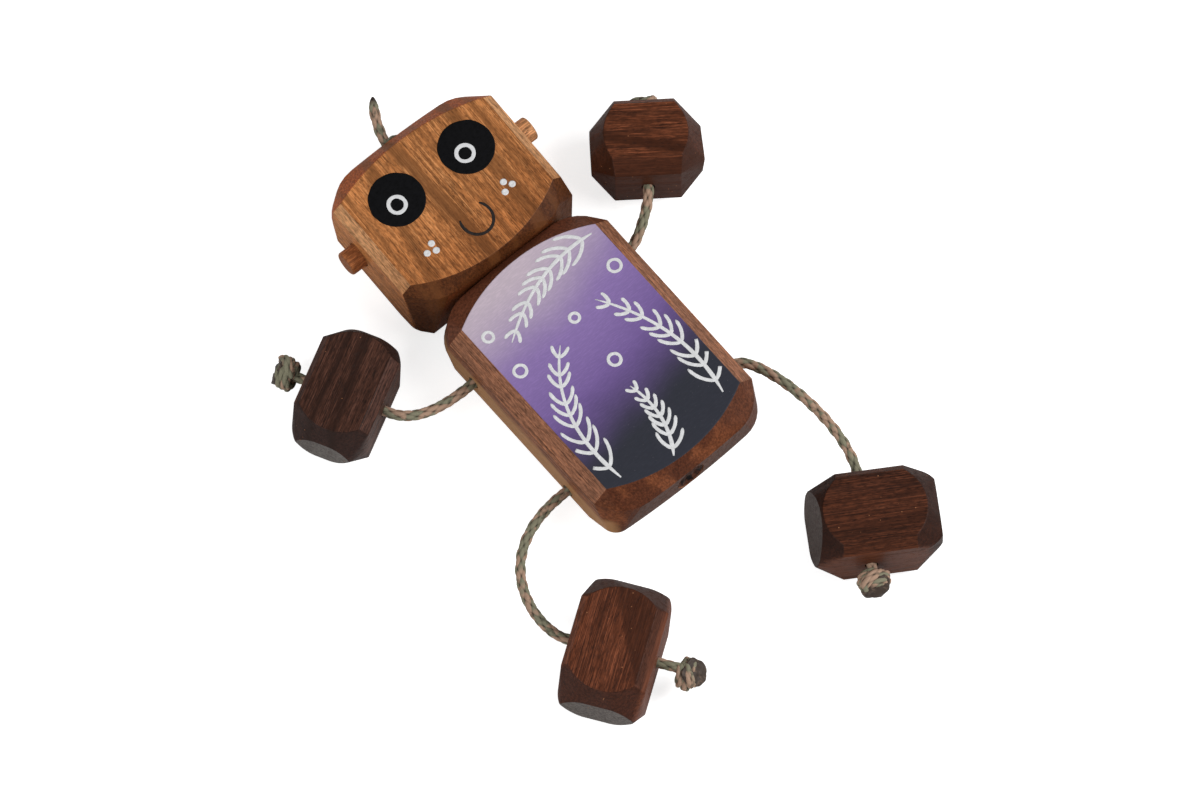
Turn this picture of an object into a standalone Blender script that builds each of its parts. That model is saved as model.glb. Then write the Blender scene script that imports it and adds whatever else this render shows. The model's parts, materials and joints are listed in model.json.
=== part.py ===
"""Wooden robot toy on its back: chamfered wood blocks strung on a neck cord, an arm cord and a leg cord.

Metres, +Z up. The toy rests on z = 0 with its face up and its head towards +Y, so its own right is -X.
"""

import math

import bmesh
import bpy
from mathutils import Matrix, Vector

# Driving dimensions
CLEARANCE = 0.0003
BOARD_THICKNESS = 0.0254
BODY_WIDTH = 0.0622
BODY_LENGTH = 0.0876
BODY_CHAMFER = 0.0049
BODY_END_RADIUS = 0.054
BODY_END_BEVEL = 0.0036
BODY_END_DEPTH = 0.0059
HEAD_WIDTH = 0.0608
HEAD_LENGTH = 0.0517
HEAD_CHAMFER = 0.0030
HEAD_TOP_RADIUS = 0.080
HEAD_TOP_BEVEL = 0.0038
HEAD_TOP_DEPTH = 0.0059
CHIN_RADIUS = 0.053
CHIN_BEVEL = 0.0018
CHIN_DEPTH = 0.0040
CHIN_BACK_BEVEL = 0.0030
CHIN_BACK_DEPTH = 0.0040
BACK_END_BEVEL = 0.0058
BACK_END_DEPTH = 0.0095
END_BOW_RADIUS = 0.350
FRONT_CORNER_RADIUS = 0.0140
BACK_CORNER_RADIUS = 0.0110
SQUARE_CORNER_RADIUS = 0.0048
RIGHT_HAND_LENGTH = 0.0384
LEFT_HAND_LENGTH = 0.0336
HAND_WIDTH = 0.0245
HAND_THICKNESS = 0.0245
RIGHT_FOOT_LENGTH = 0.0412
LEFT_FOOT_LENGTH = 0.0400
FOOT_WIDTH = 0.0265
FOOT_THICKNESS = 0.0254
FOOT_CHAMFER = 0.0033
RIGHT_HAND_CHAMFER = 0.0024
LEFT_HAND_CHAMFER = 0.0043
BLOCK_END_RADIUS = 0.0135
BLOCK_END_BEVEL = 0.0028
WORN_END_BEVEL = 0.0040
BLOCK_END_FLARE = 0.0052
BLOCK_CORNER_RADIUS = 0.0084
WORN_CORNER_RADIUS = 0.0100
CORD_DIAMETER = 0.0032
BORE_DIAMETER = 0.0041
KNOT_DIAMETER = 0.0105
KNOT_LENGTH = 0.0066
TIGHT_KNOT_LENGTH = 0.0060
NECK_KNOT_DIAMETER = 0.0078
NECK_KNOT_LENGTH = 0.0068
NECK_KNOT_SHOWING = 0.0018
PLUG_DIAMETER = 0.0095
PLUG_THICKNESS = 0.0050
EAR_DIAMETER = 0.0079
EAR_REACH = 0.0052
EAR_DEPTH = 0.0100
EAR_ROUNDING = 0.0006
EAR_ABOVE_HEAD_CENTRE = 0.0047
ARM_HOLE_UP = 0.02235
ARM_HOLE_RISE = 0.0025
LEG_HOLE_UP = -0.02125
LEG_HOLE_RISE = -0.0016
ANTENNA_LENGTH = 0.0137
NECK_ASIDE = -0.0017
NECK_LIFT = 0.0017
HEAD_TILT = math.radians(-1.8)

# Ways that the antenna's tip lies from its root, and that its tip points
ANTENNA_REACH = (0.27, 0.955, 0.12)
ANTENNA_LEAN = (0.58, 0.80, 0.12)

# Where each hand and foot lies, outwards and up from its hole, the way that the cord runs on through it
# and the slack left before its knot
RIGHT_HAND_OUT = 0.0303
RIGHT_HAND_UP = 0.0211
RIGHT_HAND_HEADING = math.radians(117.3)
RIGHT_HAND_SLACK = 0.0038
LEFT_HAND_OUT = 0.02327
LEFT_HAND_UP = 0.0202
LEFT_HAND_HEADING = math.radians(52.7)
LEFT_HAND_ROLL = math.radians(6.0)
LEFT_HAND_SLACK = 0.0005
RIGHT_FOOT_OUT = 0.0220
RIGHT_FOOT_UP = -0.0498
RIGHT_FOOT_HEADING = math.radians(-55.8)
RIGHT_FOOT_SLACK = 0.0062
LEFT_FOOT_OUT = -0.00438
LEFT_FOOT_UP = -0.0659
LEFT_FOOT_HEADING = math.radians(-122.3)
LEFT_FOOT_SLACK = 0.0015
LEFT_FOOT_OFF_CENTRE = 0.0022

# How far each cord holds its way out of the body and into its block before it bends
RIGHT_ARM_START = 0.0083
RIGHT_ARM_ARRIVAL = 0.0096
LEFT_ARM_START = 0.0030
LEFT_ARM_ARRIVAL = 0.0040
RIGHT_LEG_START = 0.0305
RIGHT_LEG_ARRIVAL = 0.0095
LEFT_LEG_START = 0.0073
LEFT_LEG_ARRIVAL = 0.0192
CORD_MOUTH = 0.0015

# Values that follow from them
CORD_RADIUS = CORD_DIAMETER / 2
BORE_RADIUS = BORE_DIAMETER / 2
CROSSING = CORD_DIAMETER + CLEARANCE
MIDDLE = BOARD_THICKNESS / 2
NECK_Z = MIDDLE + NECK_LIFT
ARM_Z = NECK_Z - CROSSING
LEG_Z = ARM_Z - CROSSING
NECK_Y = BODY_LENGTH / 2 + CLEARANCE / 2
HEAD_Y = BODY_LENGTH / 2 + CLEARANCE + HEAD_LENGTH / 2
HEAD_TOP_Y = HEAD_Y + HEAD_LENGTH / 2
PIVOT_X = BODY_WIDTH / 2 + CORD_RADIUS + CLEARANCE
SEAT_IN_BORE = 0.003
OVERRUN = 0.005
ARC_STEPS = 24
CORNER_STEPS = 8
BORE_SIDES = 24
ALONG = math.pi / 2

WALNUT = (0.105, 0.045, 0.024)
DARK_WALNUT = (0.045, 0.020, 0.013)
HEAD_WOOD = (0.270, 0.125, 0.050)
PEG_WOOD = (0.400, 0.215, 0.095)
CORD_FIBRE = (0.330, 0.280, 0.200)

parts = None
cutters = None


def clear_scene():
    """Removes every object that the start-up scene holds."""
    for obj in list(bpy.data.objects):
        bpy.data.objects.remove(obj, do_unlink=True)


def new_collection(name, hidden):
    """Adds a collection to the scene."""
    collection = bpy.data.collections.new(name)
    collection.hide_render = hidden
    bpy.context.scene.collection.children.link(collection)
    return collection


def plain_material(name, colour, roughness):
    """Principled material with one colour."""
    material = bpy.data.materials.new(name)
    material.use_nodes = True
    shader = material.node_tree.nodes["Principled BSDF"]
    shader.inputs["Base Color"].default_value = (*colour, 1.0)
    shader.inputs["Roughness"].default_value = roughness
    shader.inputs["Metallic"].default_value = 0.0
    return material


def add_object(name, data, colour, roughness, parent=None):
    """Puts mesh or curve data into the parts collection as one named part."""
    obj = bpy.data.objects.new(name, data)
    parts.objects.link(obj)
    data.materials.append(plain_material(name + "_material", colour, roughness))
    obj.parent = parent
    return obj


def add_pivot(name, location, rotation=(0.0, 0.0, 0.0), parent=None):
    """Empty on a joint axis, which carries the pieces that move there."""
    empty = bpy.data.objects.new(name, None)
    empty.empty_display_size = 0.005
    empty.location = location
    empty.rotation_euler = rotation
    empty.parent = parent
    parts.objects.link(empty)
    return empty


def mesh_from(bm, name):
    """Turns a finished bmesh into mesh data with its faces outwards."""
    bmesh.ops.recalc_face_normals(bm, faces=bm.faces)
    mesh = bpy.data.meshes.new(name)
    bm.to_mesh(mesh)
    bm.free()
    return mesh


def hull_of(points):
    """Closed convex bmesh round the given points, with flat faces kept whole."""
    bm = bmesh.new()
    for point in points:
        bm.verts.new(point)
    bmesh.ops.remove_doubles(bm, verts=bm.verts, dist=1e-6)
    made = bmesh.ops.convex_hull(bm, input=bm.verts, use_existing_faces=False)
    spare = set(made["geom_interior"]) | set(made["geom_unused"])
    loose = [item for item in spare if isinstance(item, bmesh.types.BMVert)]
    bmesh.ops.delete(bm, geom=loose, context="VERTS")
    bmesh.ops.dissolve_limit(bm, angle_limit=math.radians(0.2), verts=bm.verts, edges=bm.edges)
    return bm


def arc_end(half_width, radius, centre):
    """Points of an arc about (0, centre) that ends where it meets the two sides."""
    sweep = math.asin(min(1.0, half_width / radius))
    points = []
    for step in range(ARC_STEPS + 1):
        angle = sweep * (2 * step / ARC_STEPS - 1)
        points.append((radius * math.sin(angle), centre + radius * math.cos(angle)))
    return points


def rounded_end(half_width, radius, centre, corner):
    """The same arc with a rounded corner at each side, given from one side to the other."""
    corner = min(corner, 0.9 * half_width)
    corner_x = half_width - corner
    reach = radius - corner
    corner_y = centre + math.sqrt(max(0.0, reach * reach - corner_x * corner_x))
    lean = math.asin(min(1.0, corner_x / reach))
    points = []
    for step in range(CORNER_STEPS + 1):
        angle = math.pi / 2 - (math.pi / 2 - lean) * step / CORNER_STEPS
        points.append((corner_x + corner * math.sin(angle), corner_y + corner * math.cos(angle)))
    for step in range(1, ARC_STEPS):
        angle = lean * (1 - 2 * step / ARC_STEPS)
        points.append((radius * math.sin(angle), centre + radius * math.cos(angle)))
    points += [(-x, y) for x, y in reversed(points[: CORNER_STEPS + 1])]
    return points


def barrel_block(name, size, chamfer, end_radius, end_bevel, flare, corner):
    """Block centred on its origin, with chamfered long edges along Y and ends bevelled to an arc.

    Both faces end in an arc. The outline is fullest at half height, where its end arc is
    wider by the flare and its corners are rounded, and the length is cut flat there.
    """
    width, length, thickness = size
    half_width = width / 2
    half_length = length / 2
    high = thickness / 2
    centre = half_length - end_bevel - end_radius
    face = arc_end(half_width - chamfer, end_radius, centre)
    middle = rounded_end(half_width, end_radius + flare, centre, corner)
    face_corner = face[-1][1]
    shoulder = face_corner + (middle[0][1] - face_corner) * chamfer / high
    points = []
    for x, y in face:
        points += [(x, side * y, level) for side in (-1, 1) for level in (-high, high)]
    for x, y in middle:
        points += [(x, side * y, 0.0) for side in (-1, 1)]
    for level in (chamfer - high, high - chamfer):
        points += [(x, side * shoulder, level) for x in (-half_width, half_width) for side in (-1, 1)]
    bm = hull_of(points)
    for end in (-1, 1):
        geometry = bm.verts[:] + bm.edges[:] + bm.faces[:]
        at = (0.0, half_length * end, 0.0)
        bmesh.ops.bisect_plane(
            bm, geom=geometry, dist=1e-7, plane_co=at, plane_no=(0.0, end, 0.0), clear_outer=True
        )
    kept = [vert.co.copy() for vert in bm.verts]
    bm.free()
    return mesh_from(hull_of(kept), name)


def board_block(name, size, chamfer, low_end, high_end):
    """Board centred on its origin, with chamfered long edges along Y and a bevel round each end.

    Each end gives the radius of its face's edge, how far the bevels in front and at the back reach
    along the board and how deep they run, and the corner radius at the back on the right and left.
    """
    width, length, thickness = size
    half_width = width / 2
    half_length = length / 2
    face_half = half_width - chamfer
    high = thickness / 2
    bow_centre = half_length - END_BOW_RADIUS
    upper = rounded_end(half_width, END_BOW_RADIUS, bow_centre, FRONT_CORNER_RADIUS)
    points = []
    for side, (radius, front_bevel, back_bevel, corners) in ((-1, low_end), (1, high_end)):
        front = arc_end(face_half, radius, half_length - front_bevel[0] - radius)
        back = arc_end(face_half, radius, half_length - back_bevel[0] - radius)
        lower = []
        for hand, corner in zip((-1, 1), corners):
            whole = rounded_end(half_width, END_BOW_RADIUS, bow_centre, corner)
            lower += [point for point in whole if point[0] * hand >= 0.0]
        outlines = (
            (front, high), (upper, high - front_bevel[1]), (lower, back_bevel[1] - high), (back, -high)
        )
        for outline, level in outlines:
            points += [(x, side * y, level) for x, y in outline]
        for face, level in ((front, high - chamfer), (back, chamfer - high)):
            points += [(x, side * face[-1][1], level) for x in (-half_width, half_width)]
    return mesh_from(hull_of(points), name)


def round_bar(name, radius, length, sides=BORE_SIDES, rounding=0.0):
    """Bar along X, centred on its origin, with its ends chamfered where a rounding is given."""
    bm = bmesh.new()
    turn = Matrix.Rotation(math.pi / 2, 4, "Y")
    bmesh.ops.create_cone(
        bm, cap_ends=True, segments=sides, radius1=radius, radius2=radius, depth=length, matrix=turn
    )
    if rounding > 0.0:
        rims = [edge for edge in bm.edges if abs(edge.verts[0].co.x - edge.verts[1].co.x) < 1e-7]
        bmesh.ops.bevel(
            bm, geom=rims, offset=rounding, segments=2, profile=0.5, affect="EDGES", material=-1
        )
    return mesh_from(bm, name)


def cut_bore(target, name, radius, length, location, turn=0.0):
    """Cuts a round hole in a part with a hidden bar, which moves with it and lies turned from X."""
    cutter = bpy.data.objects.new(name, round_bar(name, radius, length))
    cutters.objects.link(cutter)
    cutter.hide_render = True
    cutter.display_type = "WIRE"
    cutter.parent = target
    cutter.location = location
    cutter.rotation_euler = (0.0, 0.0, turn)
    modifier = target.modifiers.new(name, "BOOLEAN")
    modifier.operation = "DIFFERENCE"
    modifier.solver = "EXACT"
    modifier.object = cutter


def add_cord(name, points, parent=None, radii=None):
    """Round cord along the given points, closed at both ends."""
    curve = bpy.data.curves.new(name, "CURVE")
    curve.dimensions = "3D"
    curve.fill_mode = "FULL"
    curve.bevel_depth = CORD_RADIUS
    curve.bevel_resolution = 2
    curve.use_fill_caps = True
    spline = curve.splines.new("POLY")
    spline.points.add(len(points) - 1)
    for index, point in enumerate(points):
        spline.points[index].co = (*point, 1.0)
        if radii:
            spline.points[index].radius = radii[index]
    return add_object(name, curve, CORD_FIBRE, 0.85, parent)


def add_knot(name, diameter, length, parent, location, rotation):
    """Tight stopper knot along its X axis: a lump with two lobes that wind round it and a flat melted end."""
    outline = (
        (0.00, 0.42), (0.08, 0.66), (0.20, 0.86), (0.36, 0.97), (0.52, 1.00),
        (0.68, 0.98), (0.82, 0.91), (0.93, 0.80), (1.00, 0.66),
    )
    sides = 20
    bm = bmesh.new()
    rings = []
    for along, share in outline:
        ring = []
        for step in range(sides):
            angle = 2 * math.pi * step / sides
            lobes = 1.0 + 0.06 * math.cos(2 * angle + 2 * math.pi * along)
            radius = diameter / 2 * share * lobes / 1.06
            x = length * (along - 0.5)
            ring.append(bm.verts.new((x, radius * math.cos(angle), radius * math.sin(angle))))
        rings.append(ring)
    for near, far in zip(rings, rings[1:]):
        for step in range(sides):
            after = (step + 1) % sides
            bm.faces.new((near[step], near[after], far[after], far[step]))
    bm.faces.new(rings[0])
    bm.faces.new(rings[-1])
    knot = add_object(name, mesh_from(bm, name), CORD_FIBRE, 0.8, parent)
    knot.location = location
    knot.rotation_euler = rotation
    return knot


def bezier(start, start_pull, end, end_pull, steps):
    """Points along a cubic curve that leaves along start_pull and arrives along end_pull."""
    near = start + start_pull
    far = end - end_pull
    points = []
    for step in range(steps + 1):
        t = step / steps
        s = 1 - t
        points.append(s**3 * start + 3 * s * s * t * near + 3 * s * t * t * far + t**3 * end)
    return points


def neck_axis():
    """Way that the neck cord runs through the head, which sits a little cocked."""
    return Vector((-math.sin(HEAD_TILT), math.cos(HEAD_TILT), 0.0))


def build_body():
    """Body block with its cord bores, the plug in its lower end and the cords that it holds."""
    front_bevel = (BODY_END_BEVEL, BODY_END_DEPTH)
    back_bevel = (BACK_END_BEVEL, BACK_END_DEPTH)
    low_corners = (SQUARE_CORNER_RADIUS, BACK_CORNER_RADIUS)
    high_corners = (BACK_CORNER_RADIUS, BACK_CORNER_RADIUS)
    mesh = board_block(
        "body", (BODY_WIDTH, BODY_LENGTH, BOARD_THICKNESS), BODY_CHAMFER,
        (BODY_END_RADIUS, front_bevel, back_bevel, low_corners),
        (BODY_END_RADIUS, front_bevel, back_bevel, high_corners),
    )
    body = add_object("body", mesh, WALNUT, 0.5)
    body.location = (0.0, 0.0, MIDDLE)
    through = BODY_WIDTH + 2 * OVERRUN
    holes = (("arm", ARM_HOLE_UP, ARM_HOLE_RISE, ARM_Z), ("leg", LEG_HOLE_UP, LEG_HOLE_RISE, LEG_Z))
    for name, up, rise, level in holes:
        middle = (0.0, up + rise / 2, level - MIDDLE)
        slant = math.atan2(rise, BODY_WIDTH)
        cut_bore(body, name + "_bore_cutter", BORE_RADIUS, through, middle, slant)
        right_end = Vector((-BODY_WIDTH / 2, up, level))
        left_end = Vector((BODY_WIDTH / 2, up + rise, level))
        add_cord(name + "_cord_in_body", [right_end, left_end])
    bore_at = (NECK_ASIDE, 0.0, NECK_LIFT)
    cut_bore(body, "neck_bore_cutter", BORE_RADIUS, BODY_LENGTH + 2 * OVERRUN, bore_at, ALONG)
    pocket = PLUG_THICKNESS + NECK_KNOT_LENGTH + 4 * CLEARANCE
    pocket_at = (NECK_ASIDE, -BODY_LENGTH / 2 + pocket / 2 - OVERRUN, NECK_LIFT)
    pocket_radius = PLUG_DIAMETER / 2 + CLEARANCE
    cut_bore(body, "plug_pocket_cutter", pocket_radius, pocket + 2 * OVERRUN, pocket_at, ALONG)
    plug = add_object(
        "neck_plug", round_bar("neck_plug", PLUG_DIAMETER / 2, PLUG_THICKNESS), DARK_WALNUT, 0.6
    )
    plug.location = (NECK_ASIDE, -BODY_LENGTH / 2 + CLEARANCE + PLUG_THICKNESS / 2, NECK_Z)
    plug.rotation_euler = (0.0, 0.0, math.pi / 2)
    knot_y = -BODY_LENGTH / 2 + 2 * CLEARANCE + PLUG_THICKNESS + NECK_KNOT_LENGTH / 2
    add_knot(
        "neck_knot_low", NECK_KNOT_DIAMETER, NECK_KNOT_LENGTH,
        None, (NECK_ASIDE, knot_y, NECK_Z), (0.0, 0.0, -math.pi / 2),
    )
    neck = Vector((NECK_ASIDE, NECK_Y, NECK_Z))
    in_head = HEAD_TOP_Y - NECK_Y + NECK_KNOT_SHOWING - NECK_KNOT_LENGTH - CLEARANCE
    start = Vector((NECK_ASIDE, knot_y + NECK_KNOT_LENGTH / 2 + CLEARANCE, NECK_Z))
    add_cord("neck_cord", [start, neck, neck + in_head * neck_axis()])
    return body


def build_head():
    """Head block with its two ear pegs, the knot sunk in its top and the cord tail above it."""
    pivot = add_pivot("head_turn", (NECK_ASIDE, NECK_Y, NECK_Z), (0.0, 0.0, HEAD_TILT))
    chin_corners = (SQUARE_CORNER_RADIUS, SQUARE_CORNER_RADIUS)
    chin = (CHIN_RADIUS, (CHIN_BEVEL, CHIN_DEPTH), (CHIN_BACK_BEVEL, CHIN_BACK_DEPTH), chin_corners)
    top_corners = (BACK_CORNER_RADIUS, BACK_CORNER_RADIUS)
    crown = (
        HEAD_TOP_RADIUS, (HEAD_TOP_BEVEL, HEAD_TOP_DEPTH), (BACK_END_BEVEL, BACK_END_DEPTH), top_corners
    )
    mesh = board_block(
        "head", (HEAD_WIDTH, HEAD_LENGTH, BOARD_THICKNESS), HEAD_CHAMFER, chin, crown
    )
    head = add_object("head", mesh, HEAD_WOOD, 0.5, pivot)
    head.location = (0.0, HEAD_Y - NECK_Y, -NECK_LIFT)
    bore_at = (0.0, 0.0, NECK_LIFT)
    cut_bore(head, "head_bore_cutter", BORE_RADIUS, HEAD_LENGTH + 2 * OVERRUN, bore_at, ALONG)
    sunk = NECK_KNOT_LENGTH - NECK_KNOT_SHOWING + CLEARANCE
    pocket_at = (0.0, HEAD_LENGTH / 2 - sunk / 2 + OVERRUN, NECK_LIFT)
    pocket_radius = NECK_KNOT_DIAMETER / 2 + 2 * CLEARANCE
    cut_bore(head, "knot_pocket_cutter", pocket_radius, sunk + 2 * OVERRUN, pocket_at, ALONG)
    ear_length = EAR_REACH + EAR_DEPTH
    for name, side in (("right_ear", -1), ("left_ear", 1)):
        seat = EAR_DEPTH + CLEARANCE
        seat_x = side * (HEAD_WIDTH / 2 - seat / 2 + OVERRUN)
        hole_at = (seat_x, EAR_ABOVE_HEAD_CENTRE, 0.0)
        cut_bore(head, name + "_hole_cutter", EAR_DIAMETER / 2 + CLEARANCE, seat + 2 * OVERRUN, hole_at)
        peg = round_bar(name, EAR_DIAMETER / 2, ear_length, 32, EAR_ROUNDING)
        ear = add_object(name, peg, PEG_WOOD, 0.5, pivot)
        ear_x = side * (HEAD_WIDTH / 2 + EAR_REACH - ear_length / 2)
        ear.location = (ear_x, HEAD_Y - NECK_Y + EAR_ABOVE_HEAD_CENTRE, -NECK_LIFT)
    top = HEAD_TOP_Y - NECK_Y + NECK_KNOT_SHOWING
    add_knot(
        "neck_knot_top", NECK_KNOT_DIAMETER, NECK_KNOT_LENGTH,
        pivot, (0.0, top - NECK_KNOT_LENGTH / 2, 0.0), (0.0, 0.0, math.pi / 2),
    )
    start = Vector((0.0, top + CLEARANCE, 0.0))
    reach = ANTENNA_LENGTH * Vector(ANTENNA_REACH).normalized()
    rise = Vector((0.0, ANTENNA_LENGTH / 3, 0.0))
    lean = ANTENNA_LENGTH / 3 * Vector(ANTENNA_LEAN).normalized()
    tail = bezier(start, rise, start + reach, lean, 7)
    taper = [1.0] * 5 + [0.94, 0.76, 0.24]
    add_cord("antenna_cord", tail, pivot, taper)
    return head


def build_limb(limb, end, hole, offset, heading, roll, size, shape, slack, pulls, off_centre=0.0):
    """One arm or leg: the free cord, the cord through the block, the knot beyond it and the block.

    The hole gives the body's side, the distance up from the body's middle and the height.
    The offset runs outwards and towards the head from the cord's pivot to the block's centre.
    Heading is the way that the cord runs on through the block, and roll lifts the block's near side.
    The shape gives the block's chamfer, its end bevel, its corner radius and its knot's length.
    Off centre is how far the block's middle lies beyond its bore along the grain.
    """
    side, hole_up, level = hole
    width, length, thickness = size
    chamfer, end_bevel, corner, knot_length = shape
    pivot_at = Vector((side * PIVOT_X, hole_up, level))
    pivot = add_pivot(limb + "_swing", pivot_at)
    half_up = thickness / 2
    corner_up = (half_up - chamfer, half_up)
    corner_out = (width / 2, width / 2 - chamfer)
    rest = max(
        up * math.cos(roll) + out * math.sin(abs(roll)) for up, out in zip(corner_up, corner_out)
    )
    along = Vector((
        math.cos(roll) * math.cos(heading), math.cos(roll) * math.sin(heading), -math.sin(roll)
    ))
    centre = Vector((side * offset[0], offset[1], rest - pivot_at.z))
    seat = centre - along * (width / 2 - SEAT_IN_BORE)
    mouth = centre - along * (width / 2 + CORD_MOUTH)
    outwards = Vector((side, 0.0, 0.0))
    nose = ((-0.94, 0.34), (-0.72, 0.69), (-0.38, 0.925))
    path = [outwards * CORD_RADIUS * back for back, share in nose]
    radii = [share for back, share in nose]
    free = bezier(Vector((0.0, 0.0, 0.0)), outwards * pulls[0], mouth, along * pulls[1], 10)
    path += free + [seat]
    radii += [1.0] * (len(free) + 1)
    add_cord(limb + "_cord", path, pivot, radii)
    turn = add_pivot(end + "_turn", centre, (0.0, roll, heading), pivot)
    run_start = -(width / 2 - SEAT_IN_BORE) + CLEARANCE
    knot_start = width / 2 + slack
    run = [Vector((run_start, 0.0, 0.0)), Vector((knot_start - CLEARANCE, 0.0, 0.0))]
    add_cord(end + "_cord", run, turn)
    add_knot(
        end + "_knot", KNOT_DIAMETER, knot_length,
        turn, (knot_start + knot_length / 2, 0.0, 0.0), (0.0, 0.0, 0.0),
    )
    mesh = barrel_block(
        end, size, chamfer, BLOCK_END_RADIUS, end_bevel, BLOCK_END_FLARE, corner
    )
    block = add_object(end, mesh, DARK_WALNUT, 0.5, turn)
    block.location = (0.0, off_centre, 0.0)
    cut_bore(block, end + "_bore_cutter", BORE_RADIUS, width + 2 * OVERRUN, (0.0, -off_centre, 0.0))


def build_limbs():
    """Both arms and both legs as they lie."""
    right_hand = (HAND_WIDTH, RIGHT_HAND_LENGTH, HAND_THICKNESS)
    left_hand = (HAND_WIDTH, LEFT_HAND_LENGTH, HAND_THICKNESS)
    right_foot = (FOOT_WIDTH, RIGHT_FOOT_LENGTH, FOOT_THICKNESS)
    left_foot = (FOOT_WIDTH, LEFT_FOOT_LENGTH, FOOT_THICKNESS)
    crisp = (RIGHT_HAND_CHAMFER, BLOCK_END_BEVEL, BLOCK_CORNER_RADIUS, KNOT_LENGTH)
    worn = (LEFT_HAND_CHAMFER, WORN_END_BEVEL, WORN_CORNER_RADIUS, TIGHT_KNOT_LENGTH)
    sturdy = (FOOT_CHAMFER, BLOCK_END_BEVEL, BLOCK_CORNER_RADIUS, KNOT_LENGTH)
    build_limb(
        "right_arm", "right_hand", (-1, ARM_HOLE_UP, ARM_Z), (RIGHT_HAND_OUT, RIGHT_HAND_UP),
        RIGHT_HAND_HEADING, 0.0, right_hand, crisp, RIGHT_HAND_SLACK,
        (RIGHT_ARM_START, RIGHT_ARM_ARRIVAL),
    )
    build_limb(
        "left_arm", "left_hand", (1, ARM_HOLE_UP + ARM_HOLE_RISE, ARM_Z), (LEFT_HAND_OUT, LEFT_HAND_UP),
        LEFT_HAND_HEADING, LEFT_HAND_ROLL, left_hand, worn, LEFT_HAND_SLACK,
        (LEFT_ARM_START, LEFT_ARM_ARRIVAL),
    )
    build_limb(
        "right_leg", "right_foot", (-1, LEG_HOLE_UP, LEG_Z), (RIGHT_FOOT_OUT, RIGHT_FOOT_UP),
        RIGHT_FOOT_HEADING, 0.0, right_foot, sturdy, RIGHT_FOOT_SLACK,
        (RIGHT_LEG_START, RIGHT_LEG_ARRIVAL),
    )
    build_limb(
        "left_leg", "left_foot", (1, LEG_HOLE_UP + LEG_HOLE_RISE, LEG_Z), (LEFT_FOOT_OUT, LEFT_FOOT_UP),
        LEFT_FOOT_HEADING, 0.0, left_foot, sturdy, LEFT_FOOT_SLACK,
        (LEFT_LEG_START, LEFT_LEG_ARRIVAL), LEFT_FOOT_OFF_CENTRE,
    )


clear_scene()
parts = new_collection("wooden_robot_toy", False)
cutters = new_collection("cutters", True)
build_body()
build_head()
build_limbs()
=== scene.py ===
import json
import math
from collections import namedtuple

import bmesh
import bpy
from mathutils import Matrix, Vector, noise


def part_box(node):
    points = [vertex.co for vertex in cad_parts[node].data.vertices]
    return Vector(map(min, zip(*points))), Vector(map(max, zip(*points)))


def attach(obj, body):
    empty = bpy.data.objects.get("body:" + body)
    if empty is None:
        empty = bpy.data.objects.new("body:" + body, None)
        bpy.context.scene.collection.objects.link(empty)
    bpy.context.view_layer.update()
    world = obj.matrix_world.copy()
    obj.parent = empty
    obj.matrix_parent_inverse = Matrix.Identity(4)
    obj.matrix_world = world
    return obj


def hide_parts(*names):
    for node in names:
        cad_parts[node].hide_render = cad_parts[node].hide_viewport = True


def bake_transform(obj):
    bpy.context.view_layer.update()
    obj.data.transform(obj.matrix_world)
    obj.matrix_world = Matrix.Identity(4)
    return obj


bl_info = {
    "name": "Wooden Robot Toy",
    "version": (1, 1, 0),
    "blender": (4, 5, 0),
    "location": "View3D > Sidebar > Robot Toy",
    "description": "Dresses a strung wooden robot toy: walnut blocks, braided cord and a hand-painted front",
    "category": "Object",
}

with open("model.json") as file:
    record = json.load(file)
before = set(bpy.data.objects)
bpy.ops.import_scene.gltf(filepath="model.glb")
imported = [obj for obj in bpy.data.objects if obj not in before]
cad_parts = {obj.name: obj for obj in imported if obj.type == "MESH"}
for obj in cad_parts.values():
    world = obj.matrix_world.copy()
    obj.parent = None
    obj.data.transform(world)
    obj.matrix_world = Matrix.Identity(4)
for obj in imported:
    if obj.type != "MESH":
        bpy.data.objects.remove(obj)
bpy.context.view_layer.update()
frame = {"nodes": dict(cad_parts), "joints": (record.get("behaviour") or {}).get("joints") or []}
JOINTS = {joint["name"]: joint for joint in frame["joints"]}


def joint_place(name):
    """Point on a joint's axis at rest."""
    return Vector(JOINTS[name]["pos_m"])


def joint_way(name):
    """Direction of a joint's axis at rest."""
    return Vector(JOINTS[name]["axis"]).normalized()


# A darker stripe in a board: how far it lies across the grain and its half width, both in millimetres,
# its lean along the grain and how dark it is, or how pale where the strength is negative
Stripe = namedtuple("Stripe", "centre half lean strength")

# The shape of a hand or foot, in metres: the chamfers of its near and far long edges, the radius of the
# arcs that end its faces, and its two ends along the grain
Shape = namedtuple("Shape", "chamfers arc ends")

# One end: the depth of its bevel, how far its corners are cut along and across the grain, how far the
# cut runs on past the sawn end, how full it is, from 1 for a straight cut to 2 for a round one, the
# share of the height over which it stays upright, and the tangent of the sawn end's slant
End = namedtuple("End", "bevel reach cut over fullness lift slant")
WORN_END = End(0.0028, 0.0078, 0.0080, 0.0024, 1.75, 0.0, 0.0)
CRISP_END = End(0.0040, 0.0080, 0.0078, 0.0024, 1.15, 0.0, 0.0)
SHALLOW_END = End(0.0028, 0.0058, 0.0055, 0.0024, 1.9, 0.0, 0.0)
DEEP_END = End(0.0045, 0.0058, 0.0055, 0.0024, 1.9, 0.0, 0.0)
SLANTED_END = End(0.0050, 0.0085, 0.0060, 0.0024, 1.95, 0.15, 0.26)
ROUND_END = End(0.0034, 0.0088, 0.0075, 0.0010, 2.0, 0.5, 0.0)

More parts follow.
